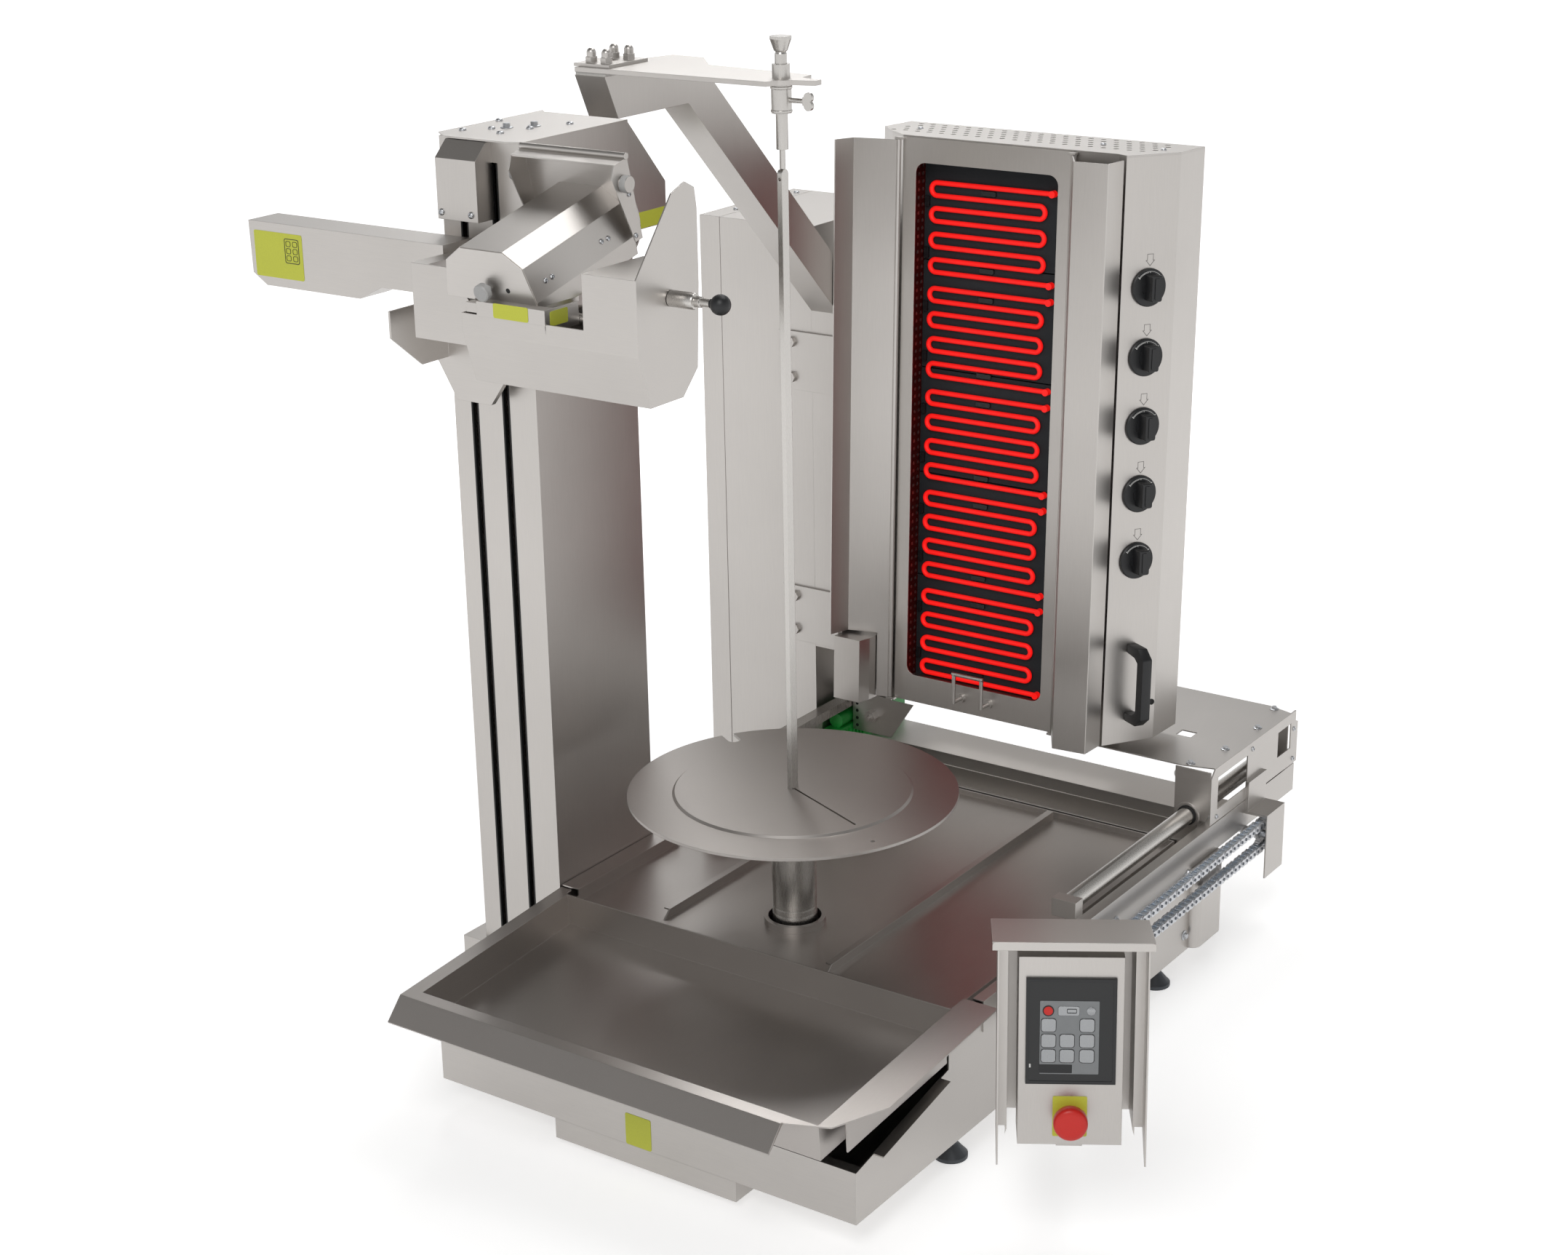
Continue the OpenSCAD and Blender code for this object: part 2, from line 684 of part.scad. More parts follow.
module top_bearing() {
    color("silver") on_bench() difference() {
        union() {
            bar_z(bearing_r, up(bearing_z), up(plate_z), spit_x, spit_y);
            bar_z(bearing_r - 1.5, up(bearing_z), up(plate_z + plate_t + 17), spit_x, spit_y);
        }
        bar_z(plunger_r + run, up(bearing_z) - 1, up(plate_z + plate_t + 18), spit_x, spit_y);
        bar_x(3 + run, spit_x, spit_x + bearing_r + 1, spit_y, up(bearing_z + 16));
    }
}

module spit_plunger() {
    top = plate_z + plate_t + 17;
    color("silver") on_bench() translate([spit_x, spit_y, 0]) difference() {
        rotate_extrude() polygon([[0, up(spit_top + 4)], [4, up(spit_top + 4)], [4, up(plunger_seat)],
            [plunger_r, up(plunger_seat)], [plunger_r, up(top + 12)], [plunger_r - 1, up(top + 14)],
            [8.5, up(top + 16)], [13.5, up(top + 30)], [13.5, up(top + 33)], [0, up(top + 33)]]);
        bar_z(tip_r + pin_room, up(spit_top), up(plunger_seat + 15), 0, 0);
    }
}

module wing_screw() {
    x0 = spit_x + plunger_r + 0.4;
    z = up(bearing_z + 16);
    color("silver") on_bench() {
        bar_x(3, x0, spit_x + 32, spit_y, z);
        block([spit_x + 32, spit_y - 2.5, z - 5], [spit_x + 38, spit_y + 2.5, z + 5]);
        for (s = [-1, 1])
            translate([spit_x + 37, spit_y, z]) rotate([90, 0, 0])
                translate([3, s * 5, -2.5]) cylinder(r = 6, h = 5);
    }
}

module guide_rails() {
    color("gainsboro") on_bench() {
        bar_y(rod_r, rod_y0, rod_y1, rod_x0, up(rod_z));
        block([rail_x0, 560, up(floor_z)], [rail_x0 + rail_t, 868, up(rail_z - rail_t)]);
        prism_y([[rail_x0, up(rail_z - 14)], [rail_x0 + rail_t, up(rail_z - 14)],
            [rail_x0 + rail_t, up(rail_z - rail_t)], [rail_x1 - rail_t, up(rail_z - rail_t)],
            [rail_x1 - rail_t, up(rail_z - 14)], [rail_x1, up(rail_z - 14)], [rail_x1, up(rail_z)],
            [rail_x0, up(rail_z)]], 560, 1010);
    }
}

// Place of a chain pin. Half of the loop is a straight run, which sinks to the rear sprocket's flat
// side, and the turn round that sprocket; the other half is the same, turned over
function half_loop(j) =
    let (turn = 360 / teeth, run_n = chain_n + 0.5, drop = sprocket_r * (1 - cos(turn / 2)))
    j <= run_n ? [j * chain_p, sprocket_r - drop * j / run_n] :
    [chain_n * chain_p + sprocket_r * sin((j - chain_n) * turn), sprocket_r * cos((j - chain_n) * turn)];

function pin_place(i) =
    i < links / 2 ? [front_sprocket_y, 0] + half_loop(i) : [sprocket_y, 0] - half_loop(i - links / 2);

// A link lies in its own plane, with its first pin at the origin and its second on +X
module at_link(i) {
    p = pin_place(i);
    q = pin_place(i + 1 == links ? 0 : i + 1);
    translate([chain_x, p[0], up(sprocket_z) + p[1]])
        rotate([atan2(q[1] - p[1], q[0] - p[0]), 0, 0]) rotate([90, 0, 90]) children();
}

module link_plate(z, hole) {
    translate([0, 0, z - link_t / 2]) linear_extrude(link_t) difference() {
        union() {
            circle(r = link_r);
            translate([chain_p, 0]) circle(r = link_r);
            translate([0, 0.7 - link_r]) square([chain_p, 2 * link_r - 1.4]);
        }
        if (hole > 0) {
            circle(r = hole);
            translate([chain_p, 0]) circle(r = hole);
        }
    }
}

module outer_link() {
    out = roller_w / 2 + 1.5 * link_t + 0.2;
    for (s = [-1, 1])
        link_plate(s * out, 0);
    for (x = [0, chain_p])
        translate([x, 0, -out - 1.7]) cylinder(r = pin_r, h = 2 * out + 3.4);
}

module inner_link() {
    for (s = [-1, 1])
        link_plate(s * (roller_w + link_t) / 2, pin_r + run);
    for (x = [0, chain_p])
        translate([x, 0, -roller_w / 2]) difference() {
            cylinder(r = roller_r, h = roller_w);
            translate([0, 0, -1]) cylinder(r = pin_r + run, h = roller_w + 2);
        }
}

module drive_chain() {
    color("lightgray") on_bench()
        for (i = [0 : links - 1])
            at_link(i)
                if (i % 2 == 0) outer_link();
                else inner_link();
}

module sprocket(first) {
    linear_extrude(roller_w - 0.8, center = true) difference() {
        circle(r = sprocket_r + 3.4);
        for (i = [0 : teeth - 1])
            rotate([0, 0, first + (i + 0.5) * 360 / teeth]) {
                translate([sprocket_r, 0]) circle(r = roller_r + 0.1);
                translate([sprocket_r + 4.8, 0]) circle(r = roller_r + 2.55);
            }
    }
}

module sprockets() {
    color("dimgray") on_bench()
        for (y = [front_sprocket_y, sprocket_y]) {
            translate([chain_x, y, up(sprocket_z)]) rotate([90, 0, 90])
                sprocket(y == sprocket_y ? 90 : -90);
            bar_x(10, chain_x - 9, chain_x, y, up(sprocket_z));
            bar_x(6, y == sprocket_y ? left + 38 : 0, chain_x + 11, y, up(sprocket_z));
        }
}

module drive_motor() {
    x1 = left + 38;
    x0 = x1 - 25;
    color("green") on_bench() {
        block([x0, 886, up(158)], [x1, 962, up(200)]);
        block([x0, 960, up(100)], [x1, sprocket_y + 25, up(200)]);
        bar_y(12, 900, 1030, x1 - 12.5, up(211));
    }
}

module carriage_deck() {
    z = up(deck_z);
    y1 = deck_y + deck_l;
    inner = heater_at[0] - 119;
    color("silver") on_bench() {
        difference() {
            prism_z([[0, deck_y + 12], [0, y1 - 12], [-40, y1], [left + 40, y1], [left + 40, deck_y - 4],
                [left + 110, deck_y - 4], [left + 110, y1 - 150], [inner, y1 - 150], [inner, deck_y],
                [-48, deck_y]], z - deck_t, z);
            block([heater_at[0] + 3, 1030, z - 5], [heater_at[0] + 27, 1052, z + 1]);
        }
        for (x = pivots)
            for (s = [-1, 1])
                difference() {
                    translate([x + s * 9 - 4, heater_at[1] + pivot_y * cos(lean) + pivot_z * sin(lean), 0]) {
                        block([0, -7, z - 1], [8, 7, z + 8]);
                        bar_x(7, 0, 8, 0, z + 8);
                    }
                    pivot_bore(x);
                }
    }
}

module at_pivot(x) {
    translate([x, heater_at[1] + pivot_y * cos(lean) + pivot_z * sin(lean),
        up(heater_at[2]) - pivot_y * sin(lean) + pivot_z * cos(lean)]) children();
}

module pivot_bore(x) {
    at_pivot(x) rotate([0, 90, 0]) cylinder(r = 3 + run, h = 40, center = true);
}

module side_plate() {
    y0 = deck_y - 5;
    y1 = deck_y + deck_l + 9;
    z0 = up(172);
    color("silver") on_bench() {
        difference() {
            prism_x([[y0, z0], [y1, z0], [y1, up(236)], [y1 - 8, up(240)], [y1 - 8, up(deck_z + 1)],
                [y0 + 12, up(deck_z + 1)], [y0, up(244)]], 0, sheet);
            block([-1, y0 + 22, up(190)], [sheet + 1, y0 + 120, up(240)]);
            block([-1, y1 - 70, up(200)], [sheet + 1, y1 - 24, up(240)]);
        }
        block([sheet, 1040, up(150)], [sheet + 6, 1100, up(200)]);
        block([sheet + 6, 1040, up(150)], [chain_x + 14, 1100, up(154)]);
        block([chain_x + 12, 1040, up(54)], [chain_x + 14, 1100, up(154)]);
    }
}

module end_plates() {
    y0 = deck_y - 4;
    y1 = deck_y + deck_l - 22;
    z1 = up(deck_z - deck_t);
    color("silver") on_bench()
        for (y = [y0, y1])
            difference() {
                union() {
                    prism_y([[-56, z1], [-56, up(176)], [-6, up(176)], [0, up(190)], [0, z1]], y, y + sheet);
                    bar_y(20, y == y0 ? y + sheet : y - 18, y == y0 ? y + 20 : y, rod_x0, up(rod_z));
                    bar_y(19, y - 1, y + 1, rod_x0, up(rod_z));
                }
                bar_y(rod_r + run, y - 30, y + 30, rod_x0, up(rod_z));
            }
}

module left_bracket() {
    y0 = deck_y - 4;
    z1 = up(deck_z - deck_t);
    run_pin = 4;
    color("silver") on_bench() {
        prism_y([[left + 40, z1], [left + 40, up(192)], [left + 110, up(192)], [left + 150, z1]],
            y0, y0 + sheet);
        block([left + 40, y0, up(192)], [left + 42, y0 + 80, z1]);
        translate([left + 78, y0, up(222)]) rotate([90, 0, 0]) cylinder(r = 10, h = 12, $fn = 6);
        bar_y(4, y0 - 20, y0 - 12, left + 78, up(222));
        bar_x(run_pin, rail_x0 + 2, left + 42, y0 + 34, up(rail_z + gap + run_pin));
    }
}

module at_heater() {
    translate([heater_at[0], heater_at[1], up(heater_at[2])]) rotate([-lean, 0, 0]) children();
}

panel_b = [-44, -heater_side - 74];
front_y = -heater_d + sheet;
heater_outline = [[-heater_w, 0], [0, 0], [0, -heater_side], panel_b, [-60, front_y],
    [frame_x0 - 2, front_y], [37 - heater_w, -110], [-heater_w, -heater_side]];

module heater_housing() {
    w = -heater_w;
    t = sheet;
    hollow = [[w + t, -t], [-t, -t], [-t, 0.6 - heater_side], [panel_b[0] - 0.4, panel_b[1] + 3],
        [-61, front_y + t], [frame_x0 - 1, front_y + t], [w + 38, t - 110], [w + t, 1 - heater_side]];
    color("silver") on_bench() {
        at_heater() {
            difference() {
                prism_z(heater_outline, 0, heater_h - t);
                prism_z(hollow, t, heater_h);
                block([window_x - bed_w / 2 - sheet - 1, front_y - 1, sill_h - 15],
                    [window_x + bed_w / 2 + sheet + 1, front_y + t + 1, sill_h + window_h + 18]);
            }
            difference() {
                prism_z([[w, -heater_side], [w, -193], [w + 45, -193], [w + 50, -172], [w + 50, -117],
                    [w + 37, -110]], 0, 98);
                prism_z([[w + t, -heater_side - 3], [w + t, t - 193], [w + 43, t - 193],
                    [w + 48, -171], [w + 48, -120], [w + 37, -114]], t, 96);
            }
        }
        for (x = pivots) {
            difference() {
                at_pivot(x) {
                    block([-4, -6, 0], [4, 6, 11]);
                    bar_x(6, -4, 4, 0, 0);
                }
                at_heater() block([-heater_w, -200, 1], [0, 0, 60]);
            }
            at_pivot(x) bar_x(3, -13, 13, 0, 0);
        }
    }
}

module heater_top() {
    hole = 4;
    color("silver") on_bench() at_heater() difference() {
        prism_z(heater_outline, heater_h - sheet, heater_h);
        for (row = [0 : 4])
            for (i = [0 : 20])
                bar_z(hole, heater_h - 5, heater_h + 1,
                    29 - heater_w + 20 * i + (row % 2) * 10, -18 - 19 * row);
    }
}

module heater_frame() {
    r = 15;
    x0 = window_x - window_w / 2;
    x1 = window_x + window_w / 2;
    z1 = sill_h + window_h;
    color("silver") on_bench() at_heater() {
        difference() {
            block([frame_x0, -heater_d, 0], [frame_x1, front_y, heater_h - sheet]);
            block([x0 + r, -heater_d - 1, sill_h], [x1 - r, front_y + 1, z1]);
            block([x0, -heater_d - 1, sill_h + r], [x1, front_y + 1, z1 - r]);
            for (x = [x0 + r, x1 - r])
                for (z = [sill_h + r, z1 - r])
                    bar_y(r, -heater_d - 1, front_y + 1, x, z);
        }
        difference() {
            block([window_x - bed_w / 2 - sheet, front_y, sill_h - 13],
                [window_x + bed_w / 2 + sheet, -86, z1 + 16]);
            block([window_x - bed_w / 2, front_y - 1, sill_h - 11], [window_x + bed_w / 2, -85, z1 + 14]);
        }
        for (x = [hinge_x0, hinge_x1]) {
            for (z = [-1.3, heater_h - 5.7])
                block([x == hinge_x0 ? x - 4 : x - 8, -148.3, z],
                    [x == hinge_x0 ? x + 10 : x + 4, -heater_d, z + 3]);
            bar_z(2, 1, heater_h - 5, x, -144.3);
        }
        for (x = [window_x - 19, window_x + 28]) {
            bar_z(3, 20, 66, x, -heater_d - 22);
            bar_y(3, -heater_d - 22, -heater_d, x, 22);
            bar_y(7, -heater_d - 4, -heater_d, x, 22);
        }
        bar_x(3, window_x - 22, window_x + 31, -heater_d - 22, 66);
    }
}

module element_bed() {
    color("dimgray") on_bench() at_heater()
        for (i = [0 : zones - 1])
            block([window_x - bed_w / 2, bed_y, sill_h - 11 + i * (zone_h + 6)],
                [window_x + bed_w / 2, bed_y + 12, sill_h - 11 + i * (zone_h + 6) + zone_h + 4]);
}

module element_zone() {
    u = bar_gap / 2;
    for (i = [0 : bars - 1])
        bar_x(element_r, bar_x0 + u, i == 0 || i == bars - 1 ? bar_x1 + 12 : bar_x1 - u, 0, -i * bar_gap);
    for (i = [0 : 2 : bars - 2])
        translate([bar_x0 + u, 0, -i * bar_gap - u]) rotate([90, 0, 0]) rotate([0, 0, 90])
            rotate_extrude(angle = 180) translate([u, 0]) circle(r = element_r);
    for (i = [1 : 2 : bars - 3])
        translate([bar_x1 - u, 0, -i * bar_gap - u]) rotate([90, 0, 0]) rotate([0, 0, -90])
            rotate_extrude(angle = 180) translate([u, 0]) circle(r = element_r);
    for (i = [0, bars - 1])
        bar_y(5, -5, bed_y - element_y, bar_x1 + 12, -i * bar_gap);
}

module elements() {
    color("red") on_bench() at_heater()
        for (i = [0 : zones - 1])
            translate([0, element_y, sill_h - 4.3 + (bars - 1) * bar_gap + i * zone_h]) element_zone();
}

module left_wing() {
    x = hinge_x0;
    z0 = 102;
    z1 = heater_h - 6;
    color("silver") on_bench() at_heater() {
        folded([[x - 1, -148], [x - 62, -166], [x - 71, -201]], sheet, z0, z1);
        folded([[x - 1, -148], [x - 18, -153]], sheet, 2, z0 + 1);
        difference() {
            bar_z(4, 2, z1, x, -144.3);
            bar_z(2 + run, 1, z1 + 1, x, -144.3);
        }
    }
}

module right_wing() {
    x = hinge_x1;
    z1 = heater_h - 6;
    color("silver") on_bench() at_heater() {
        folded([[x, -148], [x + 31, -200], [x + 80, -195], [x + 80, -152]], sheet, 2, z1);
        difference() {
            bar_z(4, 2, z1, x, -144.3);
            bar_z(2 + run, 1, z1 + 1, x, -144.3);
        }
    }
}

module on_panel(z) {
    translate([panel_b[0] / 2, (panel_b[1] - heater_side) / 2, z])
        rotate([0, 0, atan2(panel_b[0], -74 + 148)]) rotate([0, 90, 0]) children();
}

module pull_handle() {
    color("black") on_bench() at_heater() {
        on_panel(92) {
            for (s = [-1, 1])
                translate([s * 52, 0, 0]) {
                    translate([-6, -7, gap]) cube([12, 14, 40]);
                }
            translate([-58, -8, 34]) cube([116, 16, 10]);
        }
    }
}

module dial(i) {
    color("black") on_bench() at_heater() on_panel(274 + i * dial_gap) {
        translate([0, 0, gap]) cylinder(r = dial_r, h = 4);
        translate([0, 0, gap + 3]) cylinder(r = dial_r - 2, h = 7);
        translate([-dial_r + 4, -4.5, 8]) cube([2 * dial_r - 8, 9, 15]);
    }
}

module dial_1() { dial(0); }
module dial_2() { dial(1); }
module dial_3() { dial(2); }
module dial_4() { dial(3); }
module dial_5() { dial(4); }

module lift_carriage() {
    xa = lift_x0 + slot_in + slot_w / 2;
    xb = lift_x1 - slot_out - slot_w / 2;
    y0 = beam_y + 55;
    color("silver") on_bench() {
        difference() {
            union() {
                block([lift_x0 + 4, lift_y + 70, up(900)], [lift_x1 - 4, lift_y + 110, up(1040)]);
                for (x = [xa, xb])
                    block([x - 3, y0 + 6, up(900)], [x + 3, lift_y + 71, up(1040)]);
            }
            for (x = [lift_x0 + 32, lift_x1 - 32])
                bar_z(8 + run, up(899), up(1041), x, lift_y + 90);
        }
        block([lift_x0 - 4, y0, up(905)], [lift_x1 - 20, y0 + 8, up(1060)]);
        prism_x([[y0, up(985)], [y0, up(905)], [y0 - 50, up(905)], [y0 - 105, up(950)], [y0 - 105, up(985)]],
            beam_x1 - 55, beam_x1 - 52);
        prism_y([[lift_x0 - 4, up(905)], [lift_x0 + 30, up(849)], [lift_x0 + 88, up(849)],
            [lift_x1 - 12, up(905)]], y0, y0 + 8);
        prism_y([[beam_x1 - 1, up(960)], [beam_x1 + 105, up(960)], [beam_x1 + 105, up(1000)],
            [beam_x1 + 60, up(1055)], [beam_x1 - 1, up(1055)]], y0 - 115, y0 - 112);
        block([beam_x1 - 1, y0 - 112, up(960)], [beam_x1 + 25, y0, up(1055)]);
    }
}

module key_beam() {
    x0 = left_reach;
    y1 = beam_y + 55;
    color("silver") on_bench() difference() {
        prism_y([[x0 + 26, up(981)], [x0 + 2, up(996)], [x0, up(1066)], [beam_x1 - 1, up(1066)],
            [beam_x1 - 1, up(1000)], [beam_x1 - 110, up(1000)], [beam_x1 - 150, up(981)]], beam_y, y1);
        block([x0 + 30, beam_y + sheet, up(1002)], [beam_x1 - 3, y1 - sheet, up(1064)]);
    }
}

module cross_rods() {
    color("gainsboro") on_bench()
        for (y = cross_y)
            bar_x(cross_r, beam_x1 + 25, guard_x1 - 82, y, up(cross_z));
}

module knife_guard() {
    x0 = guard_x0;
    x1 = guard_x1;
    y0 = guard_y;
    t = sheet;
    side = [[y0, up(992)], [y0 + 20, up(928)], [y0 + 84, up(928)], [y0 + 114, up(958)],
        [y0 + 120, up(1058)], [y0 + 120, up(1148)], [y0 + 116, up(1173)], [y0 + 98, up(1182)],
        [y0 + 72, up(1172)], [y0, up(1083)]];
    low = [[y0, up(1016)], [y0, up(992)], [y0 + 20, up(928)], [y0 + 84, up(928)], [y0 + 114, up(958)],
        [y0 + 117, up(1000)], [y0 + 115, up(1000)], [y0 + 112, up(959)], [y0 + 83, up(930)],
        [y0 + 21.5, up(930)], [y0 + 2, up(992)], [y0 + 2, up(1016)]];
    color("silver") on_bench() {
        difference() {
            prism_x(side, x1 - t, x1);
            bar_x(5 + run, x1 - 61, x1 + 1, y0 + 65, up(1051));
        }
        difference() {
            prism_x(low, x0, x1 - t);
            for (y = cross_y)
                bar_x(cross_r + 2, x0 - 1, x0 + 5, y, up(cross_z));
        }
        difference() {
            prism_x([[y0, up(1016)], [y0, up(992)], [y0 + 20, up(928)], [y0 + 84, up(928)],
                [y0 + 114, up(958)], [y0 + 117, up(1016)]], x0, x0 + t);
            for (y = cross_y)
                bar_x(cross_r + 2, x0 - 1, x0 + 5, y, up(cross_z));
        }
        prism_y([[x1 - 80, up(1010)], [x1, up(1010)], [x1, up(1083)], [x1 - 80, up(1083)]], y0, y0 + t);
        block([x1 - 80, y0, up(1081)], [x1, y0 + 118, up(1083)]);
        block([x1 - 80, y0, up(1030)], [x1 - 78, y0 + 118, up(1083)]);
        difference() {
            block([x0 + 8, y0 + 52, up(929)], [x0 + 48, y0 + 114, up(1020)]);
            for (y = cross_y)
                bar_x(cross_r + run, x0 - 1, x0 + 60, y, up(cross_z));
        }
        block([x0 + 8, y0, up(1018)], [x0 + 90, y0 + 114, up(1030)]);
        difference() {
            block([x1 - 60, y0 + 55, up(1040)], [x1 - t, y0 + 75, up(1083)]);
            bar_x(5 + run, x1 - 61, x1 + 1, y0 + 65, up(1051));
        }
    }
}

module at_motor() {
    translate([motor_at[0], motor_at[1], up(motor_at[2])]) rotate([tilt, 0, 0]) children();
}

module knife_motor() {
    section = [[-motor_r, -24], [motor_r, -24], [motor_r, 0], [60, 43], [33, 62], [-33, 62], [-60, 43],
        [-motor_r, 0]];
    color("silver") on_bench() difference() {
        at_motor() {
            prism_y(section, 0, motor_l);
            bar_y(6, motor_l, motor_l + 22, 0, 22);
        }
        block([-800, 0, up(900)], [-300, 400, up(1030)]);
    }
}

module round_knife() {
    color("gainsboro") on_bench() at_motor() difference() {
        union() {
            bar_y(knife_r, motor_l + 10, motor_l + 12, 0, 22);
            bar_y(14, motor_l + 6, motor_l + 18, 0, 22);
        }
        bar_y(6 + run, motor_l, motor_l + 30, 0, 22);
    }
}

module knife_shroud() {
    w = 82;
    color("silver") on_bench() at_motor() {
        difference() {
            block([-w, motor_l, 0], [w, motor_l + sheet, 104]);
            bar_y(16, motor_l - 1, motor_l + 5, 0, 22);
        }
        block([-w, motor_l - 24, 102], [w, motor_l + sheet, 104]);
        for (x = [-w, w - sheet])
            prism_x([[motor_l + sheet, -2], [motor_l + sheet, 104], [motor_l - 24, 104],
                [motor_l - 34, 88], [motor_l - 12, -2]], x, x + sheet);
        for (x = [-w - 10, w])
            bar_x(10, x, x + 10, motor_l - 14, 76);
    }
}

module thumb_screw() {
    color("whitesmoke") on_bench() at_motor() {
        bar_y(4, -8, -gap, 0, 12);
        bar_y(11, -18, -8, 0, 12);
    }
}

module lock_pin() {
    z = up(1051);
    y = guard_y + 65;
    color("black") on_bench() {
        bar_x(5, guard_x1 - 58, guard_x1 + 66, y, z);
        bar_x(9, guard_x1 + 12, guard_x1 + 42, y, z);
        translate([guard_x1 + 72, y, z]) sphere(r = 12);
    }
}

module at_control() {
    translate([panel_at[0], panel_at[1], up(panel_at[2])]) rotate([0, 0, panel_turn])
        rotate([-panel_lean, 0, 0]) children();
}

module panel_arm() {
    swivel = panel_swivel();
    color("silver") on_bench() {
        difference() {
            translate([swivel[0], swivel[1], up(110)]) rotate([0, 0, panel_turn]) {
                difference() {
                    block([-20, 24, 0], [20, 330, 36]);
                    block([-17, 27, 3], [17, 315, 33]);
                }
                block([-14, -14, 12], [14, 25, 24]);
            }
            block([-200, 300, up(100)], [3.5, 700, up(160)]);
        }
        block([sheet + gap, 425, up(80)], [6, 500, up(149)]);
        block([0, 425, up(80)], [sheet + gap, 500, up(126)]);
        bar_z(7, up(96), up(150), swivel[0], swivel[1]);
    }
}

function panel_swivel() = [panel_at[0] - 92 * sin(panel_turn), panel_at[1] + 92 * cos(panel_turn)];

module panel_box() {
    w = panel_w / 2;
    swivel = panel_swivel();
    hood = 92;
    color("silver") on_bench() {
        at_control() {
            difference() {
                block([-w, 0, -142], [w, panel_d, panel_h - 142]);
                block([-w + sheet, sheet, sheet - 142], [w - sheet, panel_d - sheet, panel_h - 142 - sheet]);
                block([-screen_w / 2 + 4, -1, -56], [screen_w / 2 - 4, sheet + 1, 56]);
                bar_y(11 + run, -1, sheet + 1, 0, -106);
            }
            prism_x([[-40, 123], [-40, 121], [panel_d - 2, 112], [panel_d, 112], [panel_d, 114]],
                -hood, hood);
            block([-75, panel_d - sheet, -123], [75, panel_d, 113]);
            for (s = [-1, 1])
                mirror([s < 0 ? 1 : 0, 0, 0]) {
                    block([75 - sheet, 0, -123], [75, panel_d, 113]);
                    prism_y([[75 - sheet, 112], [75, 112], [75, -130], [75 - sheet, -123]], 0, 2);
                    prism_x([[0, 118], [-38, 122], [-40, 119], [-40, -150], [0, -118]], 84, 86);
                    block([75 - sheet, -2, -118], [86, 0, 117]);
                }
            block([-w, panel_d - 4, -100], [w, panel_d, 80]);
        }
        difference() {
            translate([swivel[0], swivel[1], 0]) rotate([0, 0, panel_turn]) {
                block([-14, -56, up(134.3)], [14, 0, up(146)]);
                bar_z(14, up(134.3), up(146), 0, 0);
                block([-14, -56, up(98)], [14, 0, up(109.7)]);
                bar_z(14, up(98), up(109.7), 0, 0);
            }
            bar_z(7 + run, up(90), up(160), swivel[0], swivel[1]);
            at_control() block([-w, -50, -200], [w, panel_d - 1, 200]);
        }
    }
}

module touch_panel() {
    color("black") on_bench() at_control() {
        block([-screen_w / 2, -4, -screen_h / 2], [screen_w / 2, 0, screen_h / 2]);
        block([-screen_w / 2 + 5, 0, -55], [screen_w / 2 - 5, 30, 55]);
    }
}

module stop_button() {
    color("red") on_bench() at_control() {
        bar_y(11, -12, 20, 0, -106);
        bar_y(stop_r, -30, -12, 0, -106);
    }
}

base_shell();
lower_pan();
levelling_feet();
side_beam();
rear_beams();
corner_cover();
rear_tray();
front_tray();
gear_motor();
spindle();
turntable();
spit();
column_foot();
lift_column();
slot_seals();
lift_cover();
lift_rails();
rear_column();
spit_arm();
arm_brackets();
arm_spacer();
arm_plate();
arm_clamp();
top_bearing();
spit_plunger();
wing_screw();
guide_rails();
drive_chain();
sprockets();
drive_motor();
carriage_deck();
side_plate();
end_plates();
left_bracket();
heater_housing();
heater_top();
heater_frame();
element_bed();
elements();
left_wing();
right_wing();
pull_handle();
dial_1();
dial_2();
dial_3();
dial_4();
dial_5();
lift_carriage();
key_beam();
cross_rods();
knife_guard();
knife_motor();
round_knife();
knife_shroud();
thumb_screw();
lock_pin();
panel_arm();
panel_box();
touch_panel();
stop_button();
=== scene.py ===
import math

import bmesh
import bpy
from mathutils import Matrix, Vector


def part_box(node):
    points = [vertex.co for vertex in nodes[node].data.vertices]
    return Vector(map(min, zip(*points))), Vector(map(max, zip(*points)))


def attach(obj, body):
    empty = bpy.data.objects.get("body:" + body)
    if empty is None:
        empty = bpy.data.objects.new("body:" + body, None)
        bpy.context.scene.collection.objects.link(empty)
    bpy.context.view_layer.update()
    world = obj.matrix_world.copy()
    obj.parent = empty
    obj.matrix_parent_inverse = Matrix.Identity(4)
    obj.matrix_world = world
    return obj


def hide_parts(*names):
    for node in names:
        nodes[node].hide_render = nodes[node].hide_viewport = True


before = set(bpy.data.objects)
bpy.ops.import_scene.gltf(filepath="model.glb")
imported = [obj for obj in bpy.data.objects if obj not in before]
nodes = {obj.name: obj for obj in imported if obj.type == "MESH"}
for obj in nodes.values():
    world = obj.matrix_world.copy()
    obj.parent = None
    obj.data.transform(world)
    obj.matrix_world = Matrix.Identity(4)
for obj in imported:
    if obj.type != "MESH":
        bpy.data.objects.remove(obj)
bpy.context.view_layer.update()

# The base is one box of 2 mm stainless sheet, folded on a press and welded at its corners, with a
# shallow pan of the same sheet below it. Every other piece is placed from its front right bottom
# corner, in millimetres.
HALF_BASE_M = 0.325
shell_low, shell_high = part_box("base_shell")
CORNER = Vector(((shell_low.x + shell_high.x) / 2 + HALF_BASE_M, shell_low.y, shell_low.z))
BASE = Matrix.Translation(CORNER) @ Matrix.Scale(0.001, 4)


def colour(hexa):
    parts = [int(hexa[i:i + 2], 16) / 255 for i in (1, 3, 5)]
    return [p / 12.92 if p <= 0.04045 else ((p + 0.055) / 1.055) ** 2.4 for p in parts] + [1]


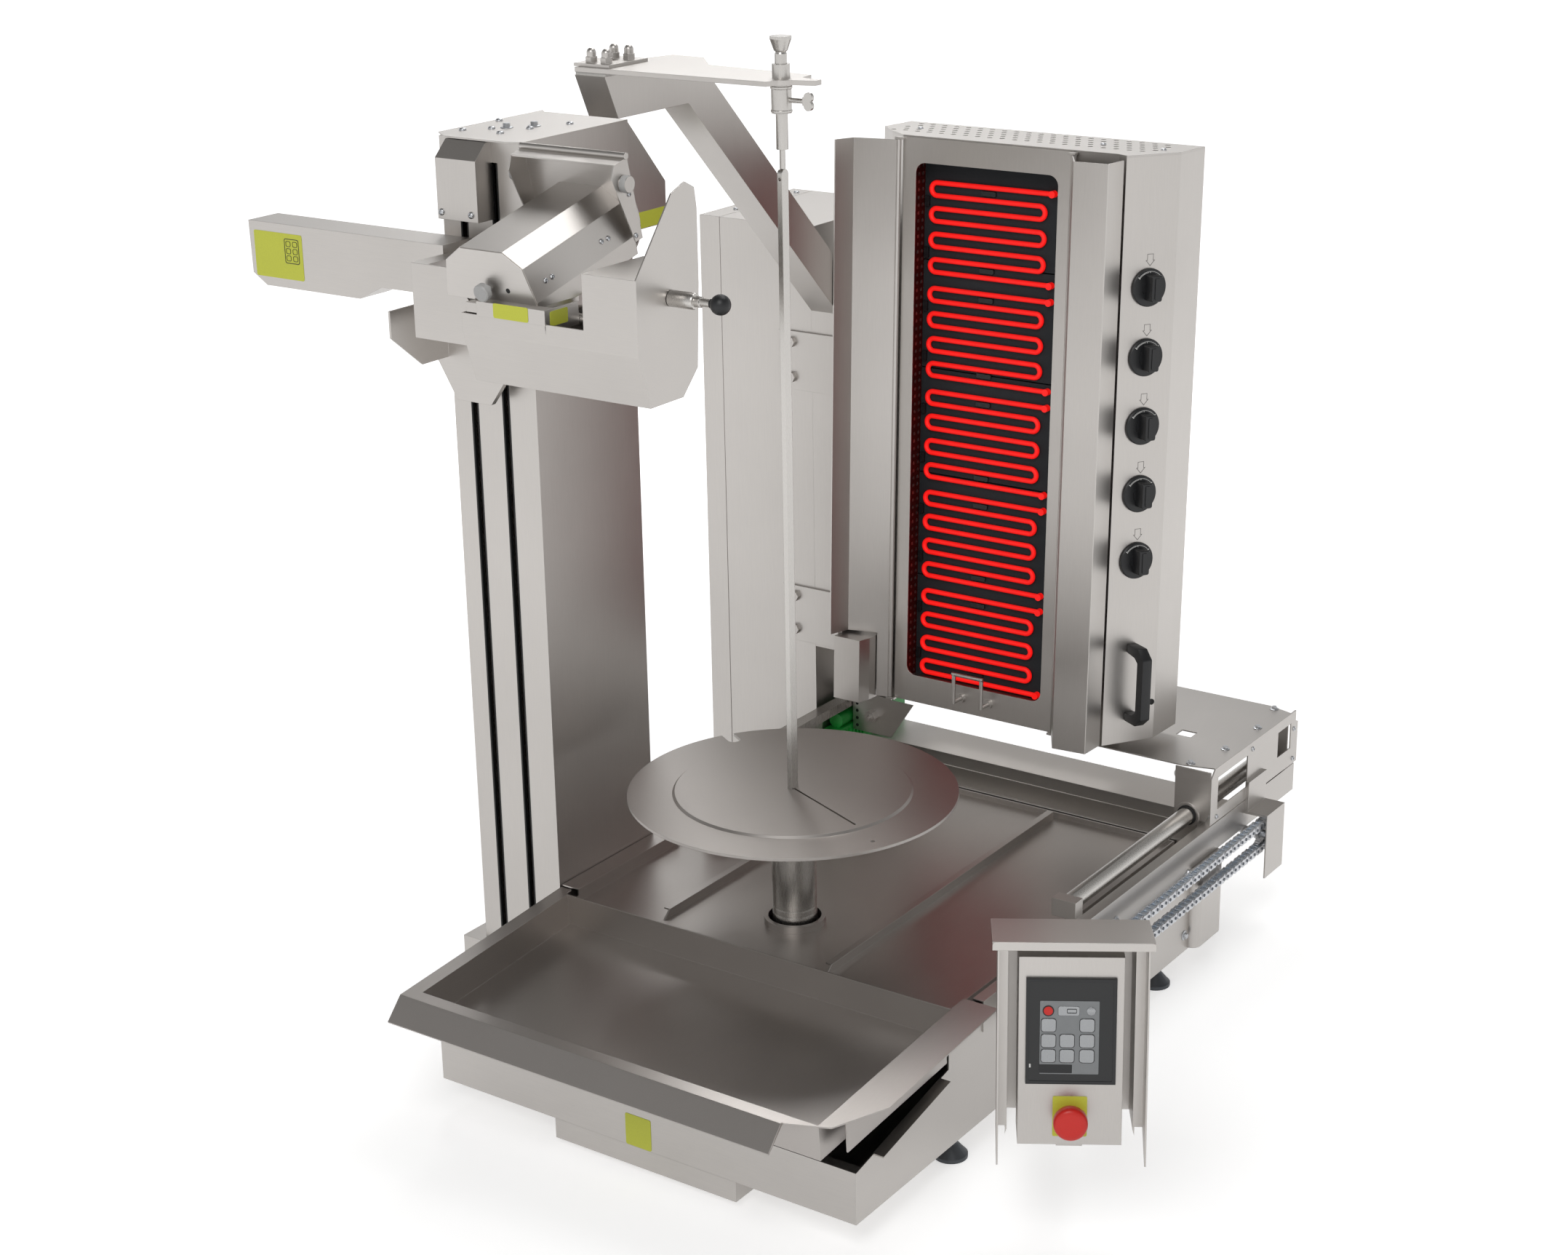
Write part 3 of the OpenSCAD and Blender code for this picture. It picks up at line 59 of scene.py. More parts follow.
def add(tree, kind, sockets=None, **settings):
    node = tree.nodes.new(kind)
    for key, value in settings.items():
        setattr(node, key, value)
    for key, value in (sockets or {}).items():
        if isinstance(value, bpy.types.NodeSocket):
            tree.links.new(value, node.inputs[key])
        else:
            node.inputs[key].default_value = value
    return node


def new_material(name):
    material = bpy.data.materials.new(name)
    material.use_nodes = True
    material.node_tree.nodes.clear()
    return material, material.node_tree


def close(tree, shader):
    add(tree, "ShaderNodeOutputMaterial", {"Surface": shader.outputs[0]})


# Stainless steel 1.4301, brushed along the sheet with 180 grit, mirrors its surroundings softly. A
# brushed line is 0.1 mm wide, drawn 1.2 mm wide so that it shows. Folds have a 0.8 mm round.
LINE_STRETCH, CLOUD_MM = 30.0, 180


def brushed_steel(name, tint, rough, along, grain_mm=1.2, edge_mm=0.8):
    material, tree = new_material(name)
    place = add(tree, "ShaderNodeTexCoord").outputs["Object"]
    stretch = [1.0 if axis == along else LINE_STRETCH for axis in "XYZ"]
    lines = add(tree, "ShaderNodeMapping", {"Vector": place, "Scale": stretch})
    grain = add(tree, "ShaderNodeTexNoise", {
        "Vector": lines.outputs[0], "Scale": 1000 / grain_mm / LINE_STRETCH, "Detail": 3.0, "Roughness": 0.6})
    cloud = add(tree, "ShaderNodeTexNoise", {"Vector": place, "Scale": 1000 / CLOUD_MM, "Detail": 2.0})
    shade = add(tree, "ShaderNodeMapRange", {"Value": cloud.outputs["Fac"], "To Min": 0.94, "To Max": 1.06})
    dull = [part * 0.9 for part in colour(tint)[:3]] + [1]
    tone = add(tree, "ShaderNodeMix", {0: grain.outputs["Fac"], 6: dull, 7: colour(tint)}, data_type="RGBA")
    lit = add(tree, "ShaderNodeVectorMath", {0: tone.outputs[2], "Scale": shade.outputs[0]},
              operation="SCALE")
    spread = add(tree, "ShaderNodeMapRange", {"Value": grain.outputs["Fac"], "To Min": rough - 0.04,
                                              "To Max": rough + 0.05})
    fold = add(tree, "ShaderNodeBevel", {"Radius": edge_mm / 1000}, samples=4)
    bump = add(tree, "ShaderNodeBump", {"Height": grain.outputs["Fac"], "Strength": 0.04, "Distance": 0.0003,
                                        "Normal": fold.outputs[0]})
    close(tree, add(tree, "ShaderNodeBsdfPrincipled", {
        "Base Color": lit.outputs[0], "Metallic": 1.0, "Roughness": spread.outputs[0],
        "Normal": bump.outputs[0]}))
    return material


def wear(material, *names):
    for name in names:
        data = nodes[name].data
        data.materials.clear()
        data.materials.append(material)


steel_x = brushed_steel("stainless_brushed_across", "#C9C5C1", 0.36, "X")
steel_y = brushed_steel("stainless_brushed_deep", "#C9C5C1", 0.36, "Y")
steel_z = brushed_steel("stainless_brushed_upright", "#C9C5C1", 0.36, "Z")
wear(steel_x, "base_shell", "lower_pan")


CREASE_RADIANS = 0.6


def piece(name, bm, material, body, place=BASE):
    """The object of a finished mesh: smooth curves, sharp folds, riding on its body."""
    bmesh.ops.recalc_face_normals(bm, faces=bm.faces)
    for face in bm.faces:
        face.smooth = True
    for edge in bm.edges:
        edge.smooth = edge.calc_face_angle(0.0) < CREASE_RADIANS
    bm.transform(place)
    mesh = bpy.data.meshes.new(name)
    bm.to_mesh(mesh)
    bm.free()
    mesh.materials.append(material)
    made = bpy.data.objects.new(name, mesh)
    bpy.context.collection.objects.link(made)
    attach(made, body)
    return made


RIGHT, BACK, FRONT, UP = (1, 0, 0), (0, 1, 0), (0, -1, 0), (0, 0, 1)


def on(x, y, z, out, rise=UP):
    """A place on a face: its own Z points out of the face and its Y up along it."""
    out = Vector(out).normalized()
    across = Vector(rise).cross(out).normalized()
    return Matrix.Translation((x, y, z)) @ Matrix((across, out.cross(across), out)).transposed().to_4x4()


def loft(bm, rings, place=Matrix()):
    """A closed form through rings of equally many points."""
    made = [[bm.verts.new(place @ Vector(point)) for point in ring] for ring in rings]
    count = len(made[0])
    for below, over in zip(made, made[1:]):
        for i in range(count):
            bm.faces.new((below[i], below[(i + 1) % count], over[(i + 1) % count], over[i]))
    bm.faces.new(made[0])
    bm.faces.new(made[-1])


def cut_plate(bm, outline, thick, place=Matrix(), rim=0.0):
    """A plate cut to an outline round its middle, with its upper rim broken."""
    inner = [(Vector(p) * (1 - rim / Vector(p).length)) if rim else Vector(p) for p in outline]
    rings = [[(p[0], p[1], 0) for p in outline], [(p[0], p[1], thick - rim) for p in outline]]
    if rim:
        rings.append([(p.x, p.y, thick) for p in inner])
    loft(bm, rings, place)


def rounded(w, h, r, steps=4):
    """The outline of a rectangle with round corners."""
    corners = ((w / 2 - r, h / 2 - r, 0), (r - w / 2, h / 2 - r, 90), (r - w / 2, r - h / 2, 180),
               (w / 2 - r, r - h / 2, 270))
    return [(x + r * math.cos(math.radians(start + 90 * i / steps)),
             y + r * math.sin(math.radians(start + 90 * i / steps)))
            for x, y, start in corners for i in range(steps + 1)]


# A bare label of yellow vinyl film with round corners is stuck on the base's front. Film, moulded
# plastic and rubber share one kind of material: dull, with a fine grain that breaks up the highlights.
# The spark eroded grain is about 0.4 mm wide and is drawn four times as coarse, so that it shows.
TIMES_COARSER = 4


def moulded(name, tint, rough, grain_mm=0.4, relief=0.15):
    material, tree = new_material(name)
    place = add(tree, "ShaderNodeTexCoord").outputs["Object"]
    grain = add(tree, "ShaderNodeTexNoise", {"Vector": place, "Scale": 1000 / grain_mm / TIMES_COARSER,
                                             "Detail": 2.0})
    shade = add(tree, "ShaderNodeMapRange", {"Value": grain.outputs["Fac"], "To Min": 0.93, "To Max": 1.05})
    lit = add(tree, "ShaderNodeVectorMath", {0: colour(tint)[:3], "Scale": shade.outputs[0]},
              operation="SCALE")
    spread = add(tree, "ShaderNodeMapRange", {"Value": grain.outputs["Fac"], "To Min": rough - 0.05,
                                              "To Max": rough + 0.05})
    bump = add(tree, "ShaderNodeBump", {"Height": grain.outputs["Fac"], "Strength": relief,
                                        "Distance": 0.0002})
    close(tree, add(tree, "ShaderNodeBsdfPrincipled", {
        "Base Color": lit.outputs[0], "Roughness": spread.outputs[0], "Normal": bump.outputs[0], "IOR": 1.5}))
    return material


yellow_film = moulded("printed_yellow_film", "#D3D84A", 0.38)


FILM_MM, LABEL_CORNER_MM = 0.4, 2.5


def label(name, w, h, place, body):
    bm = bmesh.new()
    cut_plate(bm, rounded(w, h, LABEL_CORNER_MM), FILM_MM, place)
    piece(name, bm, yellow_film, body)


label("base_label", 40, 44, on(-325, 0, 22.5, FRONT), "stand")

# Levelling feet turned from dark steel, each with a wide base and a threaded stem that screws up into
# the base. Four of the six stems get their thread here. The oiled surface is dark and half glossy.
def oiled_steel(name, tint, rough):
    material, tree = new_material(name)
    place = add(tree, "ShaderNodeTexCoord").outputs["Object"]
    grain = add(tree, "ShaderNodeTexNoise", {"Vector": place, "Scale": 1000 / 3, "Detail": 2.0})
    spread = add(tree, "ShaderNodeMapRange", {"Value": grain.outputs["Fac"], "To Min": rough - 0.06,
                                              "To Max": rough + 0.08})
    bump = add(tree, "ShaderNodeBump", {"Height": grain.outputs["Fac"], "Strength": 0.1, "Distance": 0.0002})
    close(tree, add(tree, "ShaderNodeBsdfPrincipled", {
        "Base Color": colour(tint), "Metallic": 0.7, "Roughness": spread.outputs[0],
        "Normal": bump.outputs[0]}))
    return material


def turned(bm, profile, place=Matrix(), steps=28):
    """A turned form round the place's own Z axis, from pairs of radius and height."""
    loft(bm, [[(r * math.cos(2 * math.pi * i / steps), r * math.sin(2 * math.pi * i / steps), h)
               for i in range(steps)] for r, h in profile], place)


dark_steel = oiled_steel("oiled_dark_steel", "#55585C", 0.42)
wear(dark_steel, "levelling_feet")
bm = bmesh.new()
THREAD_TURNS, THREAD_MM = 6, 2.6
for x, y in ((-626, 255), (-24, 255), (-626, 817), (-24, 817)):
    for i in range(THREAD_TURNS):
        up = THREAD_MM * i
        turned(bm, [(6.4, -17 + up), (5.2, -15.7 + up), (6.4, -14.4 + up)], on(x, y, 0, UP, BACK), 16)
piece("foot_threads", bm, dark_steel, "stand")

# The side beam on the right is folded from one sheet. It carries the guide rod's two blocks and closes
# the trough, and hexagon screws with washers hold it. The corner cover below it is rounded. Bright zinc
# plating makes the screws a shade cooler and shinier than the sheet.
wear(steel_y, "side_beam", "rear_beams")
wear(steel_z, "corner_cover")
zinc = brushed_steel("bright_zinc_plating", "#C8CACD", 0.3, "Y", grain_mm=0.8, edge_mm=0.3)


HEX_CORNER, WASHER_MM = 0.577, 1.2


def hex_screw(bm, place, across, height):
    """A hexagon head with a broken top rim, on its washer."""
    corner, top = across * HEX_CORNER, WASHER_MM + height
    turned(bm, [(across * 0.95, 0), (across * 0.95, 1.0), (across * 0.9, WASHER_MM)], place, 24)
    turned(bm, [(corner, WASHER_MM), (corner, top - 0.8), (across * 0.5, top)], place, 6)


def button_screw(bm, place, r):
    """A low domed head with the socket for its key."""
    turned(bm, [(r, 0), (r, 0.22 * r), (0.9 * r, 0.42 * r), (0.7 * r, 0.58 * r), (0.46 * r, 0.64 * r),
                (0.42 * r, 0.28 * r)], place, 24)


bm = bmesh.new()
for x, y, z in ((0, 858, 26), (0, 859, 125), (2, 640, 138), (2, 480, 138)):
    hex_screw(bm, on(x, y, z, RIGHT), 8, 4)
piece("side_beam_screws", bm, zinc, "stand")

# The rear drip tray is a floor of 2 mm sheet with welded rim strips, two stiffening ribs and a collar
# ring round the spindle. Its steel is a little darker than the base's.
tray_steel = brushed_steel("stainless_brushed_tray", "#BDB8B4", 0.34, "Y")
wear(tray_steel, "rear_tray")

# The collecting tray in front hangs on the base's slopes and lifts out. Its pan is folded from one
# sheet, with a wide rim that rolls over into the chute on the right.
wear(tray_steel, "front_tray")

# The spit's drive: a cast gear motor under the base, a spindle of thick stainless tube with two oil
# grooves, and the round turntable of 4 mm plate, blasted so that meat doesn't stick. Ground steel
# shines in a narrow streak; the blasted plate is darker and duller.
wear(dark_steel, "gear_motor")
ground_steel = brushed_steel("stainless_ground_bar", "#CBC8C4", 0.27, "Z", grain_mm=0.6)
wear(ground_steel, "spindle", "spit")
blasted_steel = brushed_steel("stainless_blasted_plate", "#B4AFAB", 0.4, "X", grain_mm=0.8)
wear(blasted_steel, "turntable")

# The lift column is folded sheet: a cap plate with hexagon and button screws, dull black seals in its
# slots, a small cover over the lift motor, and a yellow film stripe on the guard behind it.
wear(steel_z, "lift_column", "lift_cover")
wear(steel_x, "column_foot")
wear(ground_steel, "lift_rails")
# Real black rubber for seals and the grommet. The same material also paints the shade in small holes on the
# carriage's end plate and the motor's cap, drawn as thin black discs: painted shade.
black_rubber_and_hole_shade = moulded("extruded_rubber_and_painted_hole_shade", "#121313", 0.6)
wear(black_rubber_and_hole_shade, "slot_seals")
bm = bmesh.new()
COLUMN_TOP = 1189
for x, y in ((-797, 308), (-772, 336), (-737, 312), (-728, 360), (-807, 392), (-707, 416)):
    button_screw(bm, on(x, y, COLUMN_TOP, UP, BACK), 5)
for x, y in ((-760, 352), (-737, 380)):
    hex_screw(bm, on(x, y, COLUMN_TOP, UP, BACK), 9, 5)
for x in (-779.6, -730):
    button_screw(bm, on(x, 240, 1096, FRONT), 4.5)
piece("column_screws", bm, zinc, "stand")
bm = bmesh.new()
stripe = [(-28, -11), (18, -11), (33, 7), (33, 11), (-28, 11)]
cut_plate(bm, stripe, FILM_MM, on(-668, 530, 1051, RIGHT))
piece("column_stripe", bm, yellow_film, "stand")

# The rear column is a tall box with a lid. The bent square tube on its side carries the skewer's top
# bearing; hexagon bolts through two brackets hold the tube.
wear(steel_z, "rear_column", "spit_arm", "arm_brackets")
bm = bmesh.new()
REAR_LID_TOP = 984
for x, y in ((-700, 930), (-700, 1090), (-815, 930), (-815, 1090)):
    button_screw(bm, on(x, y, REAR_LID_TOP, UP, BACK), 4.5)
piece("rear_column_screws", bm, zinc, "stand")

# On the tube's end a white spacer, the arm plate and a clamp with four dome nuts. The plate holds the
# bearing sleeve; the plunger in it drops over the skewer's pin and a wing screw locks it.
wear(moulded("milled_white_polymer", "#DEDCD8", 0.4), "arm_spacer")
wear(steel_x, "arm_plate", "arm_clamp")
wear(ground_steel, "top_bearing", "spit_plunger", "wing_screw")
bm = bmesh.new()
turned(bm, [(12.7, 0), (13.6, 0.8), (13.6, 3.2), (12.7, 4)], on(-350, 386, 1262, UP, BACK))
turned(bm, [(12.7, 0), (13.4, 0.6), (13.4, 2.6), (12.7, 3.2)], on(-350, 386, 1234, UP, BACK))
piece("bearing_rings", bm, ground_steel, "stand")

# The heater's guide rod is ground and hard chromed, the left rail a folded channel. The roller chain of
# 12.7 mm pitch has blue-grey hardened rollers, bright outer plates and darker pin heads. The tint
# changes with the distance from the chain's middle: plates start at 3.9 mm and pin heads at 7 mm.
wear(ground_steel, "guide_rails")
RAMP_MM, PLATES_MM, PIN_HEADS_MM = 10.0, 3.9, 7.0
chain_low, chain_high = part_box("drive_chain")
chain_steel, tree = new_material("zinc_plated_chain")
place = add(tree, "ShaderNodeTexCoord").outputs["Object"]
along_pin = add(tree, "ShaderNodeSeparateXYZ", {0: place}).outputs["X"]
middle = add(tree, "ShaderNodeMath", {0: along_pin, 1: (chain_low.x + chain_high.x) / 2},
             operation="SUBTRACT")
off_middle = add(tree, "ShaderNodeMath", {0: middle.outputs[0]}, operation="ABSOLUTE")
layer = add(tree, "ShaderNodeMath", {0: off_middle.outputs[0], 1: 1000 / RAMP_MM}, operation="MULTIPLY")
tints = add(tree, "ShaderNodeValToRGB", {"Fac": layer.outputs[0]})
tints.color_ramp.interpolation = "CONSTANT"
tints.color_ramp.elements[0].color = colour("#C3CBD4")
tints.color_ramp.elements[1].position = PLATES_MM / RAMP_MM
tints.color_ramp.elements[1].color = colour("#D2D4D8")
pin_heads = tints.color_ramp.elements.new(PIN_HEADS_MM / RAMP_MM)
pin_heads.color = colour("#555A62")
grain = add(tree, "ShaderNodeTexNoise", {"Vector": place, "Scale": 1000 / 2, "Detail": 2.0})
spread = add(tree, "ShaderNodeMapRange", {"Value": grain.outputs["Fac"], "To Min": 0.28, "To Max": 0.42})
close(tree, add(tree, "ShaderNodeBsdfPrincipled", {
    "Base Color": tints.outputs["Color"], "Metallic": 0.85, "Roughness": spread.outputs[0]}))
wear(chain_steel, "drive_chain")
wear(zinc, "sprockets")

# The drive motor behind the tray has a housing sprayed with green enamel, which gives it an even, hard
# shine. Its cooling lid has eight short ribs.
green_enamel = moulded("sprayed_green_enamel", "#1F9F3E", 0.3, grain_mm=1.2, relief=0.05)
wear(green_enamel, "drive_motor")
bm = bmesh.new()
RIBS, RIB_PITCH_MM, RIB_MM = 8, 9, 3.0
for i in range(RIBS):
    foot = on(-609, 892 + RIB_PITCH_MM * i, 180, RIGHT) @ Matrix.Translation((0, 0, -RIB_MM))
    cut_plate(bm, rounded(2.2, 30, 1.0), RIB_MM, foot)
piece("motor_ribs", bm, green_enamel, "stand")

# The heater's carriage: a 2 mm deck with folded edges on the right side plate, two end plates with the
# rod's bushings, and the left bracket that runs on the rail. Screws with washers hold the parts.
wear(steel_y, "carriage_deck", "side_plate")
wear(steel_x, "end_plates", "left_bracket")
black_abs = moulded("moulded_black_abs", "#1B1C1E", 0.4)
bm = bmesh.new()
DECK_TOP = 255
for x, y in ((-29, 1200), (-17, 1116), (-21, 1015.5), (-39, 940)):
    hex_screw(bm, on(x, y, DECK_TOP, UP, BACK), 7, 3.5)
for y, z in ((945, 180), (1060, 180), (1060, 245), (1205, 180), (1205, 228)):
    button_screw(bm, on(2, y, z, RIGHT), 3.6)
piece("carriage_screws", bm, zinc, "heater_carriage")
# Four thin black discs in a row on the end plate's left are painted shade for holes. The ring round the rod
# is a real rubber seal.
bm = bmesh.new()
for z in (200, 212, 224, 236):
    turned(bm, [(2.6, 0), (2.6, 0.15)], on(-602, 926, z, FRONT), 16)
turned(bm, [(13.2, 0), (14.8, 0.6), (14.8, 2.4), (13.2, 3)], on(-35, 925, 181, FRONT))
piece("rod_seal_and_painted_hole_shade", bm, black_rubber_and_hole_shade, "heater_carriage")
bm = bmesh.new()
turned(bm, [(4, -3), (7, -3), (7.4, -2), (7.4, 4), (7, 5), (3, 5)], on(-52, 933, 240, FRONT), 20)
piece("deck_roller", bm, moulded("turned_white_polymer", "#E2E0DC", 0.4), "heater_carriage")

# The heater is a box of brushed sheet that leans 2 degrees back on its pivots, with a perforated lid.
# Its own pieces are placed in its frame: X across, Y to the back, Z up along the housing.
LEAN_DEGREES = -2
HEATER = BASE @ Matrix.Translation((-111, 1033, 270)) @ Matrix.Rotation(math.radians(LEAN_DEGREES), 4, "X")
wear(steel_z, "heater_housing", "heater_frame")
wear(steel_x, "heater_top")
bm = bmesh.new()
for x, y in ((-123, -66), (-30, -66), (-420, -66)):
    button_screw(bm, on(x, y, 845, UP, BACK), 4)
for x in (-440, -330, -220, -110, -30):
    button_screw(bm, on(x, 0, 838, BACK), 3.6)
    button_screw(bm, on(x, 0, 8, BACK), 3.6)
piece("heater_screws", bm, zinc, "heater", HEATER)

# Behind the window lies a bed of pressed fibre board in five plates, held by small black clips. A
# cheek of perforated sheet closes the window's left side. Its dark red colour is painted light: the
# red glow of the heating bars, painted into the sheet.
wear(moulded("pressed_fibre_board", "#24282C", 0.8, grain_mm=1.5, relief=0.4), "element_bed")


def perforated(bm, columns, rows, pitch, hole_r, thick, place):
    """A sheet with a square pattern of round holes."""
    sides = 8  # of each hole
    for column in range(columns):
        for row in range(rows):
            mid = Vector((column * pitch, row * pitch, 0))
            rim, hole = [], []
            for i in range(sides):
                angle = 2 * math.pi * i / sides
                way = Vector((math.cos(angle), math.sin(angle), 0))
                reach = pitch / 2 / max(abs(way.x), abs(way.y))
                rim.append(bm.verts.new(mid + way * reach))
                hole.append(bm.verts.new(mid + way * hole_r))
            for i in range(sides):
                j = (i + 1) % sides
                bm.faces.new((rim[i], rim[j], hole[j], hole[i]))
    bmesh.ops.remove_doubles(bm, verts=bm.verts[:], dist=0.01)
    grown = bmesh.ops.extrude_face_region(bm, geom=bm.faces[:], use_keep_orig=True)
    top = [item for item in grown["geom"] if isinstance(item, bmesh.types.BMVert)]
    bmesh.ops.translate(bm, verts=top, vec=(0, 0, thick))
    bmesh.ops.transform(bm, matrix=place, verts=bm.verts[:])


# The cheek's dark red is the heating bars' glow, painted into its colour as painted light.
red_glow_painted_sheet = oiled_steel("sheet_with_painted_red_glow", "#5C1714", 0.5)
bm = bmesh.new()
perforated(bm, columns=3, rows=70, pitch=11.2, hole_r=3.2, thick=0.8, place=on(-389, -130, 38, RIGHT))
piece("window_cheek", bm, red_glow_painted_sheet, "heater", HEATER)
ZONES, ZONE_MM, BAR_MM, TOP_BAR_Z, BED_Y = 5, 152.4, 18.4, 166.5, -100
bm = bmesh.new()
for zone in range(ZONES):
    top = TOP_BAR_Z + zone * ZONE_MM
    for z in (top - BAR_MM / 2, top - 6.5 * BAR_MM):
        cut_plate(bm, rounded(24, 7, 1.5, 2), 3.2, on(-283, BED_Y, z, FRONT), 0.5)
    for z in (top - 1.5 * BAR_MM, top - 5.5 * BAR_MM):
        cut_plate(bm, rounded(7, 15, 1.5, 2), 5, on(-383.5, BED_Y, z, FRONT), 0.5)
piece("bed_clips", bm, black_abs, "heater", HEATER)

# Five heating elements: steel tube of 7.2 mm, bent to and fro, glowing red. The glow varies a little
# along the tube and falls off towards its edges. About a third of it lights other pieces, so that
# the camera sees the tube bright and the sheet round it isn't flooded with red.
glowing, tree = new_material("glowing_element_tube")
place = add(tree, "ShaderNodeTexCoord").outputs["Object"]
heat = add(tree, "ShaderNodeTexNoise", {"Vector": place, "Scale": 1000 / 25, "Detail": 2.0})
facing = add(tree, "ShaderNodeLayerWeight", {"Blend": 0.35})
dull_edge = add(tree, "ShaderNodeMapRange", {"Value": facing.outputs["Facing"], "To Min": 1.15,
                                             "To Max": 0.25})
warm = add(tree, "ShaderNodeMapRange", {"Value": heat.outputs["Fac"], "To Min": 0.85, "To Max": 1.1})
glow = add(tree, "ShaderNodeMath", {0: dull_edge.outputs[0], 1: warm.outputs[0]}, operation="MULTIPLY")
path = add(tree, "ShaderNodeLightPath")
share = add(tree, "ShaderNodeMapRange", {"Value": path.outputs["Is Camera Ray"], "To Min": 0.35,
                                         "To Max": 1.0})
lit = add(tree, "ShaderNodeMath", {0: glow.outputs[0], 1: share.outputs[0]}, operation="MULTIPLY")
close(tree, add(tree, "ShaderNodeBsdfPrincipled", {
    "Base Color": colour("#5A0B09"), "Roughness": 0.55, "Emission Color": colour("#F2120E"),
    "Emission Strength": lit.outputs[0]}))
wear(glowing, "elements")

# The two heat wings are bent sheet, each with a sleeve that turns on a pin down the heater's front.
# They fold towards the meat, and their brushed lines run upright like the heater's.
wear(steel_z, "left_wing", "right_wing")

# The bridge handle is moulded in one piece with bevelled ends and stands on the heater's slanted
# face, front right. A small round grommet sits in the sheet beside its lower end.
SLANT_DEGREES = -30.735


def on_slant(z):
    """A place on the slanted face: its own Z points out of it and its X down along it."""
    return HEATER @ Matrix.Translation((-22, -110, z)) @ (
        Matrix.Rotation(math.radians(SLANT_DEGREES), 4, "Z")) @ Matrix.Rotation(math.radians(90), 4, "Y")


HANDLE = on_slant(92)
HANDLE_MM = 16
arch = [(-58, 0.3), (-58, 29), (-45, 44), (45, 44), (58, 29), (58, 0.3), (45, 0.3), (45, 22), (38, 31),
        (-38, 31), (-45, 22), (-45, 0.3)]
bm = bmesh.new()
loft(bm, [[(x, y, z) for x, y in arch] for z in (0, HANDLE_MM)], on(0, HANDLE_MM / 2, 0, FRONT))
bmesh.ops.bevel(bm, geom=bm.edges[:], offset=1.6, segments=2, affect="EDGES", profile=0.5)
handle = piece("bridge_handle", bm, black_abs, "heater", HANDLE)
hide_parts("pull_handle")
bm = bmesh.new()
turned(bm, [(4.4, 0), (4.4, 0.8), (3.2, 0.8), (3.2, 0.2)], on(36, 38, 0.1, UP, BACK), 20)
piece("handle_grommet", bm, black_rubber_and_hole_shade, "heater", HANDLE)

# Five dials of black moulded plastic, one for each heating zone: a skirt with a printed white scale
# and a block grip with a ridge. An arrow engraved in the sheet above each points down at it.
white_print = moulded("printed_white_marks", "#E9E9E6", 0.5, relief=0.02)
grey_print = moulded("engraved_grey_lines", "#7D7A77", 0.5, relief=0.02)


def arc_strip(bm, r0, r1, start, end, thick, place, steps):
    """A flat strip round a middle, from one angle to another in degrees."""
    rings = []
    for i in range(steps + 1):
        angle = math.radians(start + (end - start) * i / steps)
        c, s = math.cos(angle), math.sin(angle)
        rings.append([(r0 * c, r0 * s, 0), (r1 * c, r1 * s, 0),
                      (r1 * c, r1 * s, thick), (r0 * c, r0 * s, thick)])
    loft(bm, rings, place)


def outline_strip(bm, outer, inner, thick, place):
    """A closed strip between two outlines of equally many points."""
    made = [[bm.verts.new(place @ Vector((x, y, z))) for x, y in ring]
            for ring, z in ((outer, 0), (outer, thick), (inner, thick), (inner, 0))]
    count = len(outer)
    for k in range(4):
        below, over = made[k], made[(k + 1) % 4]
        for i in range(count):
            bm.faces.new((below[i], below[(i + 1) % count], over[(i + 1) % count], over[i]))


FIRST_DIAL_Z, DIAL_PITCH_MM, PRINT_MM = 274, 97.4, 0.25
arrows = bmesh.new()
for i in range(ZONES):
    dial_place = on_slant(FIRST_DIAL_Z + DIAL_PITCH_MM * i)
    name = f"dial_{i + 1}"
    bm = bmesh.new()
    turned(bm, [(25.6, 0.3), (26.5, 1), (26.5, 3), (25.4, 4.2), (12.4, 4.4), (12, 6)], steps=64)
    cut_plate(bm, rounded(36, 17, 2.4), 18, Matrix.Translation((-1, 1, 4)), 1.2)
    cut_plate(bm, rounded(30, 7.5, 2), 1.6, Matrix.Translation((-1, 1, 21.4)), 0.6)
    knob = piece(name + "_knob", bm, black_abs, name, dial_place)
    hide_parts(name)
    bm = bmesh.new()
    arc_strip(bm, 22.4, 22.9, 130, 230, PRINT_MM, Matrix.Translation((0, 0, 4.2)), 30)
    arc_strip(bm, 21.2, 21.7, 186, 230, PRINT_MM, Matrix.Translation((0, 0, 4.25)), 14)
    for angle, low, high in ((130, 21, 24.4), (180, 20.6, 22.9), (231, 20.6, 24.4)):
        arc_strip(bm, low, high, angle - 1.2, angle + 1.2, PRINT_MM, Matrix.Translation((0, 0, 4.25)), 1)
    piece(name + "_scale", bm, white_print, name, dial_place)
    shape = [(9, 0), (0.5, 7.6), (0.5, 5), (-8, 5), (-8, -5), (0.5, -5), (0.5, -7.6)]
    inner = [(7.7, 0), (1.3, 5.8), (1.3, 4.3), (-7.3, 4.3), (-7.3, -4.3), (1.3, -4.3), (1.3, -5.8)]
    outline_strip(arrows, shape, inner, 0.12, dial_place @ Matrix.Translation((-38, 1.5, 0)))
piece("engraved_arrows", arrows, grey_print, "heater", Matrix())

